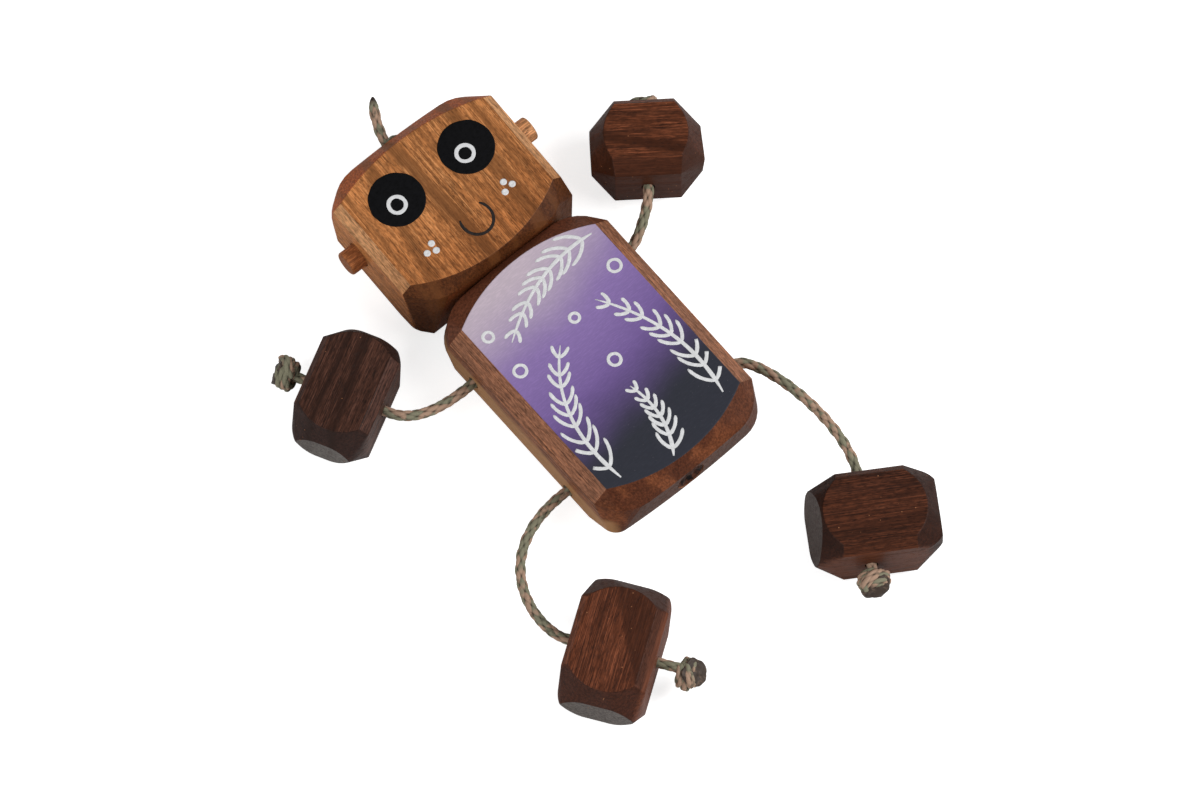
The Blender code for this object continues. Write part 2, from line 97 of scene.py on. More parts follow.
# How each arm and leg is strung: the block's width along its bore, the cord's pull at either end,
# the slack before the knot, the knot's length, how far it sags, the way that the cord bends from its
# hole, the tilt of the knot's melted end, and the block's tone, the painted sheen on its chamfers,
# its stripes and shape
Limb = namedtuple(
    "Limb", "limb end side width start arrival slack knot_length sag bend tilt tone worn stripes shape"
)
LIMBS = (
    Limb(
        limb="right_arm", end="right_hand", side=-1, width=0.0245, start=0.0083, arrival=0.0096,
        slack=0.0038, knot_length=0.0066, sag=0.0, bend=(-1.0, 0.0), tilt=0.15,
        tone=(0.78, 0.86, 1.0), worn=0.15,
        stripes=(Stripe(4.9, 1.0, 0.0, 0.8), Stripe(-1.6, 1.2, 0.06, 0.8)),
        shape=Shape((0.0028, 0.0018), 0.0135, (WORN_END, WORN_END)),
    ),
    Limb(
        limb="left_arm", end="left_hand", side=1, width=0.0245, start=0.0030, arrival=0.0040,
        slack=0.0005, knot_length=0.0060, sag=0.0045, bend=(0.9, 0.44), tilt=0.3,
        tone=(1.55, 1.24, 0.94), worn=0.0,
        stripes=(Stripe(-3.5, 1.7, -0.22, 0.8), Stripe(-12.2, 4.0, 0.0, 0.75)),
        shape=Shape((0.0043, 0.0022), 0.0155, (CRISP_END, CRISP_END)),
    ),
    Limb(
        limb="right_leg", end="right_foot", side=-1, width=0.0265, start=0.0320, arrival=0.0095,
        slack=0.0062, knot_length=0.0062, sag=0.0036, bend=(-0.9, -0.44), tilt=1.3,
        tone=(1.46, 1.16, 0.92), worn=0.3,
        # The pale stripe on the outer side is painted sheen
        stripes=(Stripe(15.5, 12.0, 0.486, 0.7), Stripe(13.4, 1.6, 0.0, -0.5)),
        shape=Shape((0.0020, 0.0033), 0.0135, (SHALLOW_END, DEEP_END)),
    ),
    Limb(
        limb="left_leg", end="left_foot", side=1, width=0.0265, start=0.0073, arrival=0.0192,
        slack=0.0015, knot_length=0.0064, sag=0.0010, bend=(0.7, -0.71), tilt=0.8,
        tone=(0.78, 0.62, 0.48), worn=0.1,
        # The pale stripe on the outer side is partly paler wood and partly painted light
        stripes=(Stripe(6.0, 2.2, 0.1, 0.4), Stripe(13.8, 1.2, 0.0, -0.95)),
        shape=Shape((0.0022, 0.0030), 0.0135, (SLANTED_END, ROUND_END)),
    ),
)
HEAD_STRIPES = (
    Stripe(-3.2, 2.0, 0.05, 0.75), Stripe(16.4, 2.2, 0.0, 0.65), Stripe(-17.5, 1.6, -0.2, 0.6),
    Stripe(6.0, 0.8, 0.03, 0.5), Stripe(23.5, 1.2, 0.0, 0.5), Stripe(-25.0, 1.0, 0.0, 0.45),
)

# Sizes of the pieces and of the cuts in them, in metres
CLEARANCE = 0.0003
FRONT_Z = 0.0254
SIDE_X = 0.0311
CORD_MOUTH = 0.0015
CORD_IN_BODY = 0.0110
CORD_IN_BLOCK = 0.0090
BORE_RADIUS = 0.00205
BORE_OVERRUN = 0.005
NECK_BORE_START = 0.004
NECK_BORE_STOP = 0.002
PLUG_POCKET_DEPTH = 0.013
KNOT_DIAMETER = 0.0105
NECK_KNOT_DIAMETER = 0.0078
NECK_KNOT_LENGTH = 0.0068
NECK_KNOT_SHOWING = 0.0018
HEAD_HEIGHT = 0.05185
EAR_LENGTH = 0.0152
EAR_ROUNDING = 0.0007
ANTENNA_LENGTH = 0.0137
ANTENNA_ASIDE = 0.0021
ANTENNA_SUNK = 0.0012
ANTENNA_REACH = (0.27, 0.955, 0.12)
ANTENNA_LEAN = (0.58, 0.80, 0.12)
PANEL_HALF_WIDTH = 0.0262
PANEL_HALF_LENGTH = 0.0402
PANEL_END_RADIUS = 0.054

# Points that fill out the head's lower corners
HEAD_CORNERS = ((0.0302, 0.0486, 0.0130), (-0.0302, 0.0479, 0.0018), (-0.0276, 0.0448, 0.0018))

NECK = joint_place("head_turn")
NECK_WAY = joint_way("head_turn")
HEAD_TURN = Matrix.Rotation(math.atan2(-NECK_WAY.x, NECK_WAY.y), 3, "Z")
UP = Vector((0.0, 0.0, 1.0))


# Settings that a user would change


def colour_setting(name, description, default):
    """A colour that the sidebar shows."""
    return bpy.props.FloatVectorProperty(
        name=name, description=description, subtype="COLOR", size=3, default=default, min=0.0, max=1.0
    )


def length_setting(name, description, default, low, high):
    """A length that the sidebar shows."""
    return bpy.props.FloatProperty(
        name=name, description=description, subtype="DISTANCE", unit="LENGTH",
        default=default, min=low, max=high,
    )


def angle_setting(name, description, degrees):
    """An angle that the sidebar shows."""
    return bpy.props.FloatProperty(
        name=name, description=description, subtype="ANGLE", unit="ROTATION", default=math.radians(degrees)
    )


class WoodSettings(bpy.types.PropertyGroup):
    """Colours and edges of the wooden blocks."""

    walnut: colour_setting("Walnut", "Main colour of the body", (0.245, 0.090, 0.040))
    sapwood: colour_setting("Sapwood", "Pale edge of the body's board", (0.430, 0.225, 0.098))
    head: colour_setting("Head", "Main colour of the head", (0.460, 0.178, 0.056))
    dark: colour_setting("Dark walnut", "Main colour of the hands and feet", (0.088, 0.031, 0.0165))
    sawn: colour_setting("Sawn end", "Colour of the flat ends of the hands and feet", (0.120, 0.106, 0.096))
    peg: colour_setting("Peg", "Main colour of the ear pegs", (0.500, 0.215, 0.095))
    edge: length_setting("Edge rounding", "Radius of the sanded edges", 0.0005, 0.0001, 0.002)


class CordSettings(bpy.types.PropertyGroup):
    """Size and colours of the braided cord."""

    diameter: length_setting("Diameter", "Outer diameter of the cord", 0.0032, 0.001, 0.01)
    pitch: length_setting("Pitch", "Length in which a strand winds once round the cord", 0.0210, 0.004, 0.05)
    tan: colour_setting("Tan", "First colour of the strands", (0.400, 0.262, 0.185))
    olive: colour_setting("Olive", "Second colour of the strands", (0.225, 0.213, 0.145))
    burnt: colour_setting("Burnt", "Colour of the melted ends", (0.026, 0.020, 0.017))


class PaintSettings(bpy.types.PropertyGroup):
    """Colours of the painted front and the face."""

    lilac: colour_setting("Lilac", "Panel colour next to the head", (0.515, 0.430, 0.495))
    violet: colour_setting("Violet", "Panel colour above its middle", (0.240, 0.160, 0.385))
    purple: colour_setting("Purple", "Panel colour below its middle", (0.150, 0.092, 0.275))
    charcoal: colour_setting("Charcoal", "Panel colour at its lower end", (0.028, 0.030, 0.041))
    white: colour_setting("White", "Colour of the brush lines and dots", (0.790, 0.795, 0.805))
    black: colour_setting("Black", "Colour of the eye patches", (0.0022, 0.0022, 0.0026))
    ink: colour_setting("Ink", "Colour of the smile", (0.016, 0.013, 0.012))
    line: length_setting("Line width", "Width of a brush line on the panel", 0.0014, 0.0004, 0.004)
    eye: length_setting("Eye radius", "Radius of a painted eye patch", 0.00875, 0.003, 0.012)


class StageSettings(bpy.types.PropertyGroup):
    """Viewing angle and light."""

    azimuth: angle_setting("Azimuth", "Turn of the view about the vertical", -40.4)
    elevation: angle_setting("Elevation", "Height of the view above the horizon", 69.3)
    distance: length_setting("Distance", "Distance of the camera", 9.0, 0.3, 50.0)
    view_width: length_setting("View width", "Width of the view at the toy", 0.3598, 0.05, 5.0)
    lamp: bpy.props.FloatProperty(
        name="Lamp", description="Power of the larger soft lamp", subtype="POWER", unit="POWER",
        default=8.8, min=0.0,
    )
    sky: bpy.props.FloatProperty(
        name="Surroundings", description="Light from all round", default=0.25, min=0.0, max=1.0
    )


# Shader helpers

MILLIMETRES = 1000.0
SAWN_FACING = (0.955, 0.985)


def add_node(tree, kind, inputs=None, **settings):
    """Adds a shader node, sets its fields, and wires or sets its inputs."""
    made = tree.nodes.new("ShaderNode" + kind)
    for field, value in settings.items():
        setattr(made, field, value)
    for socket, value in (inputs or {}).items():
        if isinstance(value, bpy.types.NodeSocket):
            tree.links.new(value, made.inputs[socket])
        else:
            made.inputs[socket].default_value = value
    return made


def maths(tree, operation, first, second=0.0, third=0.0, clamp=False):
    """One number worked out from up to three."""
    values = {0: first, 1: second, 2: third}
    return add_node(tree, "Math", values, operation=operation, use_clamp=clamp).outputs[0]


def vector_maths(tree, operation, first, second, third=(0.0, 0.0, 0.0)):
    """One vector worked out from up to three."""
    values = {0: first, 1: second, 2: third}
    return add_node(tree, "VectorMath", values, operation=operation).outputs[0]


def dot(tree, first, second):
    """Size of one vector's share along another."""
    made = add_node(tree, "VectorMath", {0: first, 1: second}, operation="DOT_PRODUCT")
    return maths(tree, "ABSOLUTE", made.outputs["Value"])


def smooth_step(tree, value, low, high, start=0.0, stop=1.0):
    """Smooth rise from start to stop while the value goes from low to high."""
    inputs = {"Value": value, "From Min": low, "From Max": high, "To Min": start, "To Max": stop}
    return add_node(tree, "MapRange", inputs, interpolation_type="SMOOTHSTEP").outputs[0]


def mix_colour(tree, factor, first, second, blend="MIX"):
    """One colour laid over another."""
    values = {0: factor, 6: first, 7: second}
    return add_node(tree, "Mix", values, data_type="RGBA", blend_type=blend).outputs[2]


def mix_value(tree, factor, first, second):
    """One number laid over another."""
    return add_node(tree, "Mix", {0: factor, 2: first, 3: second}).outputs[0]


def noise_value(tree, vector, scale, detail=2.0, roughness=0.5):
    """Soft noise from 0 to 1, with its scale along each axis."""
    place = vector_maths(tree, "MULTIPLY", vector, scale)
    inputs = {"Vector": place, "Scale": 1.0, "Detail": detail, "Roughness": roughness}
    return add_node(tree, "TexNoise", inputs).outputs[0]


def even(scale):
    """The same scale along each axis."""
    return (scale, scale, scale)


def solid(colour):
    """A colour with full cover."""
    return (*colour, 1.0)


def toned(colour, factor):
    """A colour made darker or paler, by one factor or by one for each channel."""
    factors = factor if isinstance(factor, tuple) else even(factor)
    return tuple(min(1.0, channel * share) for channel, share in zip(colour, factors))


def new_group(name, inputs, outputs):
    """Empty shader node group with named sockets."""
    group = bpy.data.node_groups.new(name, "ShaderNodeTree")
    for label, kind in inputs:
        group.interface.new_socket(label, in_out="INPUT", socket_type="NodeSocket" + kind)
    for label, kind in outputs:
        group.interface.new_socket(label, in_out="OUTPUT", socket_type="NodeSocket" + kind)
    return group, group.nodes.new("NodeGroupInput"), group.nodes.new("NodeGroupOutput")


def growth_rings(group, place, spacing):
    """Share of late wood in growth rings about a wandering pith beside the board."""
    drift = add_node(
        group, "TexNoise",
        {"Vector": vector_maths(group, "MULTIPLY", place, (0.03, 0.012, 0.03)), "Scale": 1.0, "Detail": 2.0},
    ).outputs[1]
    shift = vector_maths(group, "MULTIPLY_ADD", drift, (12.0, 0.0, 12.0), (-44.0, 0.0, 56.0))
    from_pith = vector_maths(group, "ADD", place, shift)
    flat = vector_maths(group, "MULTIPLY", from_pith, (1.0, 0.03, 1.0))
    radius = add_node(group, "VectorMath", {0: flat}, operation="LENGTH").outputs["Value"]
    part = maths(group, "FRACT", maths(group, "DIVIDE", radius, spacing))
    rise = smooth_step(group, part, 0.25, 0.92)
    return maths(group, "MULTIPLY", rise, smooth_step(group, part, 0.92, 1.0, 1.0, 0.0))


def open_pores(group, place):
    """Short dark dashes along the grain, crowded in places."""
    stretched = vector_maths(group, "MULTIPLY", place, (3.2, 0.36, 3.2))
    cells = add_node(group, "TexVoronoi", {"Vector": stretched, "Scale": 1.0, "Randomness": 1.0})
    dash = smooth_step(group, cells.outputs["Distance"], 0.12, 0.30, 1.0, 0.0)
    crowd = smooth_step(group, noise_value(group, place, (0.3, 0.02, 0.3)), 0.34, 0.60, 0.25, 1.0)
    return maths(group, "MULTIPLY", dash, crowd)


def wood_grain_group():
    """Grain of a sawn board: growth rings, bands, fibres, open pores, painted sheen on chamfers and end
    grain.

    The pattern is in millimetres with the grain along Y. Facing is the share of the surface's normal
    along the grain: a bevelled end is darker, and a flat sawn end has a colour of its own.
    """
    found = bpy.data.node_groups.get("wood_grain")
    if found:
        return found
    colours = [(label, "Color") for label in ("Base", "Dark", "Pale", "Bevel", "Sawn")]
    amounts = [(label, "Float") for label in ("Facing", "Chamfer", "Spacing", "Rings", "Bands", "Pores")]
    group, given, result = new_group(
        "wood_grain", [("Pattern", "Vector"), *colours, *amounts],
        [("Color", "Color"), ("Roughness", "Float"), ("Height", "Float")],
    )
    take = given.outputs
    place = take["Pattern"]
    late = growth_rings(group, place, take["Spacing"])
    band = smooth_step(group, noise_value(group, place, (0.16, 0.008, 0.16)), 0.44, 0.66)
    line = smooth_step(group, noise_value(group, place, (0.9, 0.016, 0.9), 3.0), 0.48, 0.70)
    fibre = noise_value(group, place, (3.8, 0.07, 3.8), 2.0, 0.6)
    pore = maths(group, "MULTIPLY", open_pores(group, place), take["Pores"])
    ringed = maths(group, "MULTIPLY", late, take["Rings"])
    banded = maths(group, "MULTIPLY", band, take["Bands"])
    deep = maths(group, "MAXIMUM", ringed, banded)
    thin = maths(group, "MULTIPLY", line, take["Bands"])
    deep = maths(group, "MULTIPLY_ADD", thin, 0.5, deep, clamp=True)
    colour = mix_colour(group, deep, take["Base"], take["Dark"])
    # Painted sheen: the chamfers turn paler and greyer by the Chamfer amount, as if light glanced off them
    chamfer_sheen_colour = mix_colour(group, 1.0, take["Pale"], (0.95, 1.20, 1.60, 1.0), "MULTIPLY")
    colour = mix_colour(group, take["Chamfer"], colour, chamfer_sheen_colour)
    colour = mix_colour(group, smooth_step(group, fibre, 0.50, 0.68, 0.0, 0.7), colour, take["Pale"])
    colour = mix_colour(group, smooth_step(group, fibre, 0.32, 0.48, 0.85, 0.0), colour, take["Dark"])
    bevel = smooth_step(group, take["Facing"], 0.22, 0.60, 0.0, 0.85)
    colour = mix_colour(group, bevel, colour, take["Bevel"])
    sawn = smooth_step(group, take["Facing"], *SAWN_FACING, 0.0, 0.88)
    colour = mix_colour(group, sawn, colour, take["Sawn"])
    sunk = mix_colour(group, 1.0, colour, (0.42, 0.38, 0.36, 1.0), "MULTIPLY")
    colour = mix_colour(group, pore, colour, sunk)
    mottle = noise_value(group, place, (1.5, 0.4, 1.5), 3.0, 0.65)
    mottle = smooth_step(group, mottle, 0.32, 0.68, 0.66, 1.34)
    colour = mix_colour(group, 1.0, colour, mottle, "MULTIPLY")
    rough = maths(group, "MULTIPLY_ADD", line, 0.14, 0.46)
    rough = maths(group, "MULTIPLY_ADD", pore, 0.25, rough)
    height = maths(group, "MULTIPLY_ADD", fibre, 0.25, maths(group, "MULTIPLY", pore, -1.0))
    group.links.new(colour, result.inputs["Color"])
    group.links.new(rough, result.inputs["Roughness"])
    group.links.new(height, result.inputs["Height"])
    return group


def new_material(name, specular):
    """Empty node material with its Principled shader."""
    material = bpy.data.materials.new(name)
    material.use_nodes = True
    shader = material.node_tree.nodes["Principled BSDF"]
    shader.inputs["Specular IOR Level"].default_value = specular
    return material, material.node_tree, shader


def add_bump(tree, shader, height, depth):
    """Relief from a height between 0 and 1."""
    bump = add_node(tree, "Bump", {"Height": height, "Strength": 1.0, "Distance": depth})
    tree.links.new(bump.outputs[0], shader.inputs["Normal"])


def board_place(tree, turn, centre):
    """A board's own coordinates in millimetres with its grain along Y, and its end and chamfer masks.

    The turn takes the board's own axes to the toy's axes.
    """
    inward = turn.transposed()
    texture = add_node(tree, "TexCoord")
    mapping = add_node(
        tree, "Mapping",
        {"Vector": texture.outputs["Object"], "Location": -MILLIMETRES * (inward @ Vector(centre)),
         "Rotation": inward.to_euler(), "Scale": even(MILLIMETRES)},
    )
    normal = texture.outputs["Normal"]
    facing = dot(tree, normal, turn.col[1])
    corner = maths(tree, "MULTIPLY", dot(tree, normal, turn.col[0]), dot(tree, normal, turn.col[2]))
    return mapping.outputs[0], facing, smooth_step(tree, corner, 0.30, 0.45)


# What a wood material is made of, for the steps that add to it
Finish = namedtuple("Finish", "material tree shader colour place grain")


def wood_material(name, shades, turn, centre, cut, figure, worn, stripes=()):
    """Oiled wood. Shades are its base, dark, pale, bevel and sawn colours, cut is the board's place
    in the log, figure is the spacing and strength of its rings, its bands and its pores, and the
    next number is how much a painted sheen pales its chamfers."""
    material, tree, shader = new_material(name, 0.14)
    place, facing, chamfer = board_place(tree, turn, centre)
    grain = add_node(tree, "Group", node_tree=wood_grain_group())
    for label, shade in zip(("Base", "Dark", "Pale", "Bevel", "Sawn"), shades):
        grain.inputs[label].default_value = solid(shade)
    for label, value in zip(("Spacing", "Rings", "Bands", "Pores"), figure):
        grain.inputs[label].default_value = value
    tree.links.new(vector_maths(tree, "ADD", place, cut), grain.inputs["Pattern"])
    tree.links.new(facing, grain.inputs["Facing"])
    # Painted sheen: how much the chamfers are paled
    tree.links.new(maths(tree, "MULTIPLY", chamfer, worn), grain.inputs["Chamfer"])
    colour = grain.outputs["Color"]
    if stripes:
        colour = striped(tree, colour, place, facing, stripes, shades[1], shades[2])
    tree.links.new(colour, shader.inputs["Base Color"])
    tree.links.new(grain.outputs["Roughness"], shader.inputs["Roughness"])
    add_bump(tree, shader, grain.outputs["Height"], 0.00012)
    return Finish(material, tree, shader, colour, place, grain)


def striped(tree, colour, place, facing, stripes, dark, pale):
    """A wood colour with darker and paler stripes that wander along the grain.

    They are faint on sawn ends, and the pale ones are streaky.
    """
    axes = add_node(tree, "SeparateXYZ", {0: place}).outputs
    wander = noise_value(tree, place, (0.10, 0.045, 0.10))
    ragged = noise_value(tree, place, (1.6, 0.10, 1.6))
    across = maths(tree, "MULTIPLY_ADD", wander, 3.0, axes["X"])
    across = maths(tree, "MULTIPLY_ADD", ragged, 1.2, across)
    lengthwise = smooth_step(tree, facing, *SAWN_FACING, 1.0, 0.2)
    streaks = maths(tree, "MULTIPLY", lengthwise, smooth_step(tree, ragged, 0.38, 0.62, 0.45, 1.0))
    for stripe in stripes:
        off = maths(tree, "MULTIPLY_ADD", axes["Y"], stripe.lean, across)
        off = maths(tree, "ABSOLUTE", maths(tree, "SUBTRACT", off, stripe.centre + 2.1))
        soft = min(stripe.half, 0.9)
        mask = smooth_step(tree, off, stripe.half - soft, stripe.half + soft, abs(stripe.strength), 0.0)
        # Pale stripes, used on the feet's outer sides, are painted light there, partly paler wood
        shade, cover = (dark, lengthwise) if stripe.strength > 0 else (pale, streaks)
        colour = mix_colour(tree, maths(tree, "MULTIPLY", mask, cover), colour, solid(shade))
    return colour


def wood_shades(base, dark, pale, bevel, sawn):
    """The five colours of a wood, each as a share of its base."""
    return [base, *(toned(base, share) for share in (dark, pale, bevel, sawn))]


def body_material(wood, paint):
    """Walnut with a pale sapwood edge low on the right-hand side, painted shade on its top bevel under the
    head, and the painted front over it.
    """
    shades = wood_shades(wood.walnut, 0.34, (1.8, 1.9, 2.0), 0.6, (0.34, 0.36, 0.46))
    centre = (0.0, 0.0, FRONT_Z / 2)
    made = wood_material(
        "painted_walnut", shades, Matrix.Identity(3), centre, (0.0, 0.0, 0.0), (7.0, 0.45, 0.7, 0.9), 0.35
    )
    tree = made.tree
    axes = add_node(tree, "SeparateXYZ", {0: made.place}).outputs
    golden = smooth_step(tree, noise_value(tree, made.place, (0.07, 0.02, 0.07), 4.0), 0.48, 0.60, 0.0, 0.8)
    golden = maths(tree, "MULTIPLY", golden, smooth_step(tree, axes["X"], 4.0, 22.0, 1.0, 0.15))
    low_dark = solid(toned(wood.walnut, (0.30, 0.21, 0.20)))
    low_pale = solid(toned(wood.walnut, (0.90, 0.74, 0.62)))
    low_end = mix_colour(tree, golden, low_dark, low_pale)
    # Painted shade: the bevel at the top end, under the head, is darker
    shaded_top_end = solid(toned(wood.walnut, (0.60, 0.50, 0.56)))
    ends = mix_colour(tree, smooth_step(tree, axes["Y"], 0.0, 20.0), low_end, shaded_top_end)
    tree.links.new(ends, made.grain.inputs["Bevel"])
    wander = noise_value(tree, made.place, (0.15, 0.03, 0.15))
    level = maths(tree, "MULTIPLY_ADD", wander, 6.0, axes["Z"])
    low = smooth_step(tree, level, 4.0, 6.5, 1.0, 0.0)
    aside = smooth_step(tree, axes["X"], -30.0, -27.0, 0.9, 0.0)
    sap = mix_colour(tree, 0.85, made.colour, solid(wood.sapwood))
    wooden = mix_colour(tree, maths(tree, "MULTIPLY", low, aside), made.colour, sap)
    fade = panel_fade(tree, axes, made.place, paint)
    bristle = noise_value(tree, made.place, (0.5, 3.0, 1.0), 3.0)
    ragged = noise_value(tree, made.place, even(1.2), 3.0)
    height = maths(tree, "MULTIPLY_ADD", ragged, 0.10, axes["Z"])
    painted = smooth_step(tree, height, 12.58, 12.68)
    tree.links.new(mix_colour(tree, painted, wooden, fade), made.shader.inputs["Base Color"])
    satin = maths(tree, "MULTIPLY_ADD", bristle, 0.12, 0.46)
    rough = mix_value(tree, painted, made.grain.outputs["Roughness"], satin)
    tree.links.new(rough, made.shader.inputs["Roughness"])
    film = maths(tree, "MULTIPLY", bristle, 0.16)
    relief = mix_value(tree, painted, made.grain.outputs["Height"], film)
    add_bump(tree, made.shader, relief, 0.00012)
    return made.material


def panel_fade(tree, axes, place, paint):
    """Paint that fades from lilac at the head over purple to charcoal, a little aslant."""
    cloud = noise_value(tree, place, even(0.05))
    along = maths(tree, "MULTIPLY_ADD", maths(tree, "SUBTRACT", cloud, 0.5), 9.0, axes["Y"])
    along = maths(tree, "MULTIPLY_ADD", axes["X"], -0.08, along)
    along = maths(tree, "MULTIPLY_ADD", maths(tree, "MAXIMUM", axes["X"], 0.0), -0.22, along)
    fade = mix_colour(tree, smooth_step(tree, along, 10.0, 40.0), solid(paint.violet), solid(paint.lilac))
    fade = mix_colour(tree, smooth_step(tree, along, -14.0, 14.0, 1.0, 0.0), fade, solid(paint.purple))
    fade = mix_colour(tree, smooth_step(tree, along, -26.0, -3.5, 1.0, 0.0), fade, solid(paint.charcoal))
    bristle = noise_value(tree, place, (0.5, 3.0, 1.0), 3.0)
    streak = mix_colour(tree, 1.0, fade, (1.28, 1.25, 1.25, 1.0), "MULTIPLY")
    fade = mix_colour(tree, smooth_step(tree, bristle, 0.40, 0.75, 0.0, 0.55), fade, streak)
    dust = noise_value(tree, place, even(2.6), 1.0)
    return mix_colour(tree, smooth_step(tree, dust, 0.74, 0.80, 0.0, 0.25), fade, solid(paint.lilac))


def head_material(wood):
    """Lighter brown wood with long dark stripes and darker ends, painted shade low on the face and at the
    chin, and painted light towards the top.
    """
    shades = wood_shades(wood.head, 0.36, (1.35, 1.6, 1.9), (0.80, 0.46, 0.31), (0.36, 0.28, 0.30))
    centre = NECK + HEAD_TURN @ Vector((0.0, HEAD_HEIGHT / 2, FRONT_Z / 2 - NECK.z))
    figure = (9.0, 0.35, 0.55, 0.9)
    made = wood_material(
        "head_wood", shades, HEAD_TURN, centre, (11.0, 40.0, 3.0), figure, 0.6, HEAD_STRIPES
    )
    along = add_node(made.tree, "SeparateXYZ", {0: made.place}).outputs["Y"]
    # The chin's bevel is darker wood with painted shade from the body below it
    chin_with_shade = solid(toned(wood.head, (0.10, 0.066, 0.064)))
    ends = mix_colour(made.tree, smooth_step(made.tree, along, -10.0, 10.0), chin_with_shade, solid(shades[3]))
    made.tree.links.new(ends, made.grain.inputs["Bevel"])
    # Painted light and shade: the head darkens towards the chin and brightens towards the top
    rise = smooth_step(made.tree, along, -24.0, 4.0)
    tint = mix_colour(made.tree, rise, (0.90, 0.80, 0.74, 1.0), (1.15, 1.12, 1.12, 1.0))
    colour = mix_colour(made.tree, 1.0, made.colour, tint, "MULTIPLY")
    made.tree.links.new(colour, made.shader.inputs["Base Color"])
    return made.material


def block_material(limb, wood, index):
    """Dark walnut whose grain runs across the bore of one hand or foot, with a few pale specks."""
    base = toned(wood.dark, limb.tone)
    dark, pale, bevel = (toned(base, share) for share in (0.30, (1.9, 2.05, 2.2), (0.36, 0.38, 0.46)))
    shades = [base, dark, pale, bevel, wood.sawn]
    figure = (7.5, 0.45, 0.55, 1.0)
    cut = (17.0 * index, 31.0 * index, 9.0 - 5.0 * index)
    centre = joint_place(limb.end + "_twist")
    made = wood_material(
        limb.end + "_walnut", shades, block_turn(limb), centre, cut, figure, limb.worn, limb.stripes
    )
    tree = made.tree
    dots = add_node(tree, "TexVoronoi", {"Vector": made.place, "Scale": 0.42, "Randomness": 1.0})
    chance = add_node(tree, "SeparateColor", {0: dots.outputs["Color"]}).outputs[0]
    near = smooth_step(tree, dots.outputs["Distance"], 0.05, 0.09, 1.0, 0.0)
    speck = maths(tree, "MULTIPLY", near, smooth_step(tree, chance, 0.58, 0.62, 0.0, 0.7))
    colour = mix_colour(tree, speck, made.colour, solid(wood.peg))
    tree.links.new(colour, made.shader.inputs["Base Color"])
    return made.material


def peg_material(wood):
    """Pale round dowel whose grain runs along its length, with painted light on the left ear peg and painted
    shade on the right one.
    """
    shades = wood_shades(wood.peg, 0.55, 1.35, 0.72, 0.66)
    turn = HEAD_TURN @ Matrix.Rotation(-math.pi / 2, 3, "Z")
    made = wood_material("peg_wood", shades, turn, NECK, (5.0, 3.0, 7.0), (2.2, 0.5, 0.7, 1.0), 0.0)
    across = add_node(made.tree, "SeparateXYZ", {0: made.place}).outputs["Y"]
    # Painted light and shade: the left ear peg is paler and greyer, the right one darker
    painted_light_side = smooth_step(made.tree, across, -10.0, 10.0)
    tint = mix_colour(made.tree, painted_light_side, (0.80, 0.64, 0.50, 1.0), (1.35, 1.5, 1.5, 1.0))
    colour = mix_colour(made.tree, 1.0, made.colour, tint, "MULTIPLY")
    made.tree.links.new(colour, made.shader.inputs["Base Color"])
    return made.material


def plug_material(wood):
    """Rough dark filling of the neck pocket, with painted black shade in its crevices."""
    shades = wood_shades(wood.dark, 0.3, 1.6, 0.8, 0.7)
    turn = Matrix.Rotation(math.pi / 2, 3, "X")
    made = wood_material("plug_wood", shades, turn, NECK, (0.0, 0.0, 0.0), (3.0, 0.7, 0.7, 1.0), 0.0)
    tree = made.tree
    lump = noise_value(tree, made.place, even(0.42), 3.0, 0.6)
    # Painted shade: black patches stand for the shade in the plug's crevices
    crevice_shade = smooth_step(tree, lump, 0.42, 0.52, 0.95, 0.0)
    colour = mix_colour(tree, crevice_shade, made.colour, (0.004, 0.003, 0.003, 1.0))
    tree.links.new(colour, made.shader.inputs["Base Color"])
    return made.material


def cord_material(cord):
    """Braided two-colour cord: the strands' dye, painted shade in the grooves, fine fibres and melted ends.
    """
    found = bpy.data.materials.get("braided_cord")
    if found:
        return found
    material, tree, shader = new_material("braided_cord", 0.2)
    dye, groove_shade, melted = (
        add_node(tree, "Attribute", attribute_name=layer).outputs["Fac"] for layer in CORD_LAYERS
    )
    place = add_node(tree, "TexCoord").outputs["Object"]
    fuzz = noise_value(tree, place, even(3800.0), 3.0, 0.7)
    tint = noise_value(tree, place, even(420.0))
    colour = mix_colour(tree, smooth_step(tree, dye, 0.44, 0.56), solid(cord.tan), solid(cord.olive))
    pale = mix_colour(tree, 1.0, colour, (1.35, 1.35, 1.35, 1.0), "MULTIPLY")
    colour = mix_colour(tree, smooth_step(tree, fuzz, 0.40, 0.75, 0.0, 0.6), colour, pale)
    fleck = smooth_step(tree, tint, 0.58, 0.70, 0.0, 0.65)
    colour = mix_colour(tree, fleck, colour, solid(toned(cord.olive, 0.42)))
    # Painted shade: the grooves between the strands are darkened
    sunk = smooth_step(tree, groove_shade, 0.18, 0.80, 0.0, 0.95)
    colour = mix_colour(tree, sunk, colour, solid(toned(cord.olive, 0.13)))
    smear = smooth_step(tree, noise_value(tree, place, (900.0, 500.0, 500.0), 3.0), 0.52, 0.74, 0.0, 0.55)
    glaze = mix_colour(tree, smear, solid(cord.burnt), solid(toned(cord.tan, 0.45)))
    colour = mix_colour(tree, melted, colour, glaze)
    tree.links.new(colour, shader.inputs["Base Color"])
    rough = maths(tree, "MULTIPLY_ADD", melted, -0.50, 0.88)
    tree.links.new(rough, shader.inputs["Roughness"])
    add_bump(tree, shader, fuzz, 0.00010)
    return material


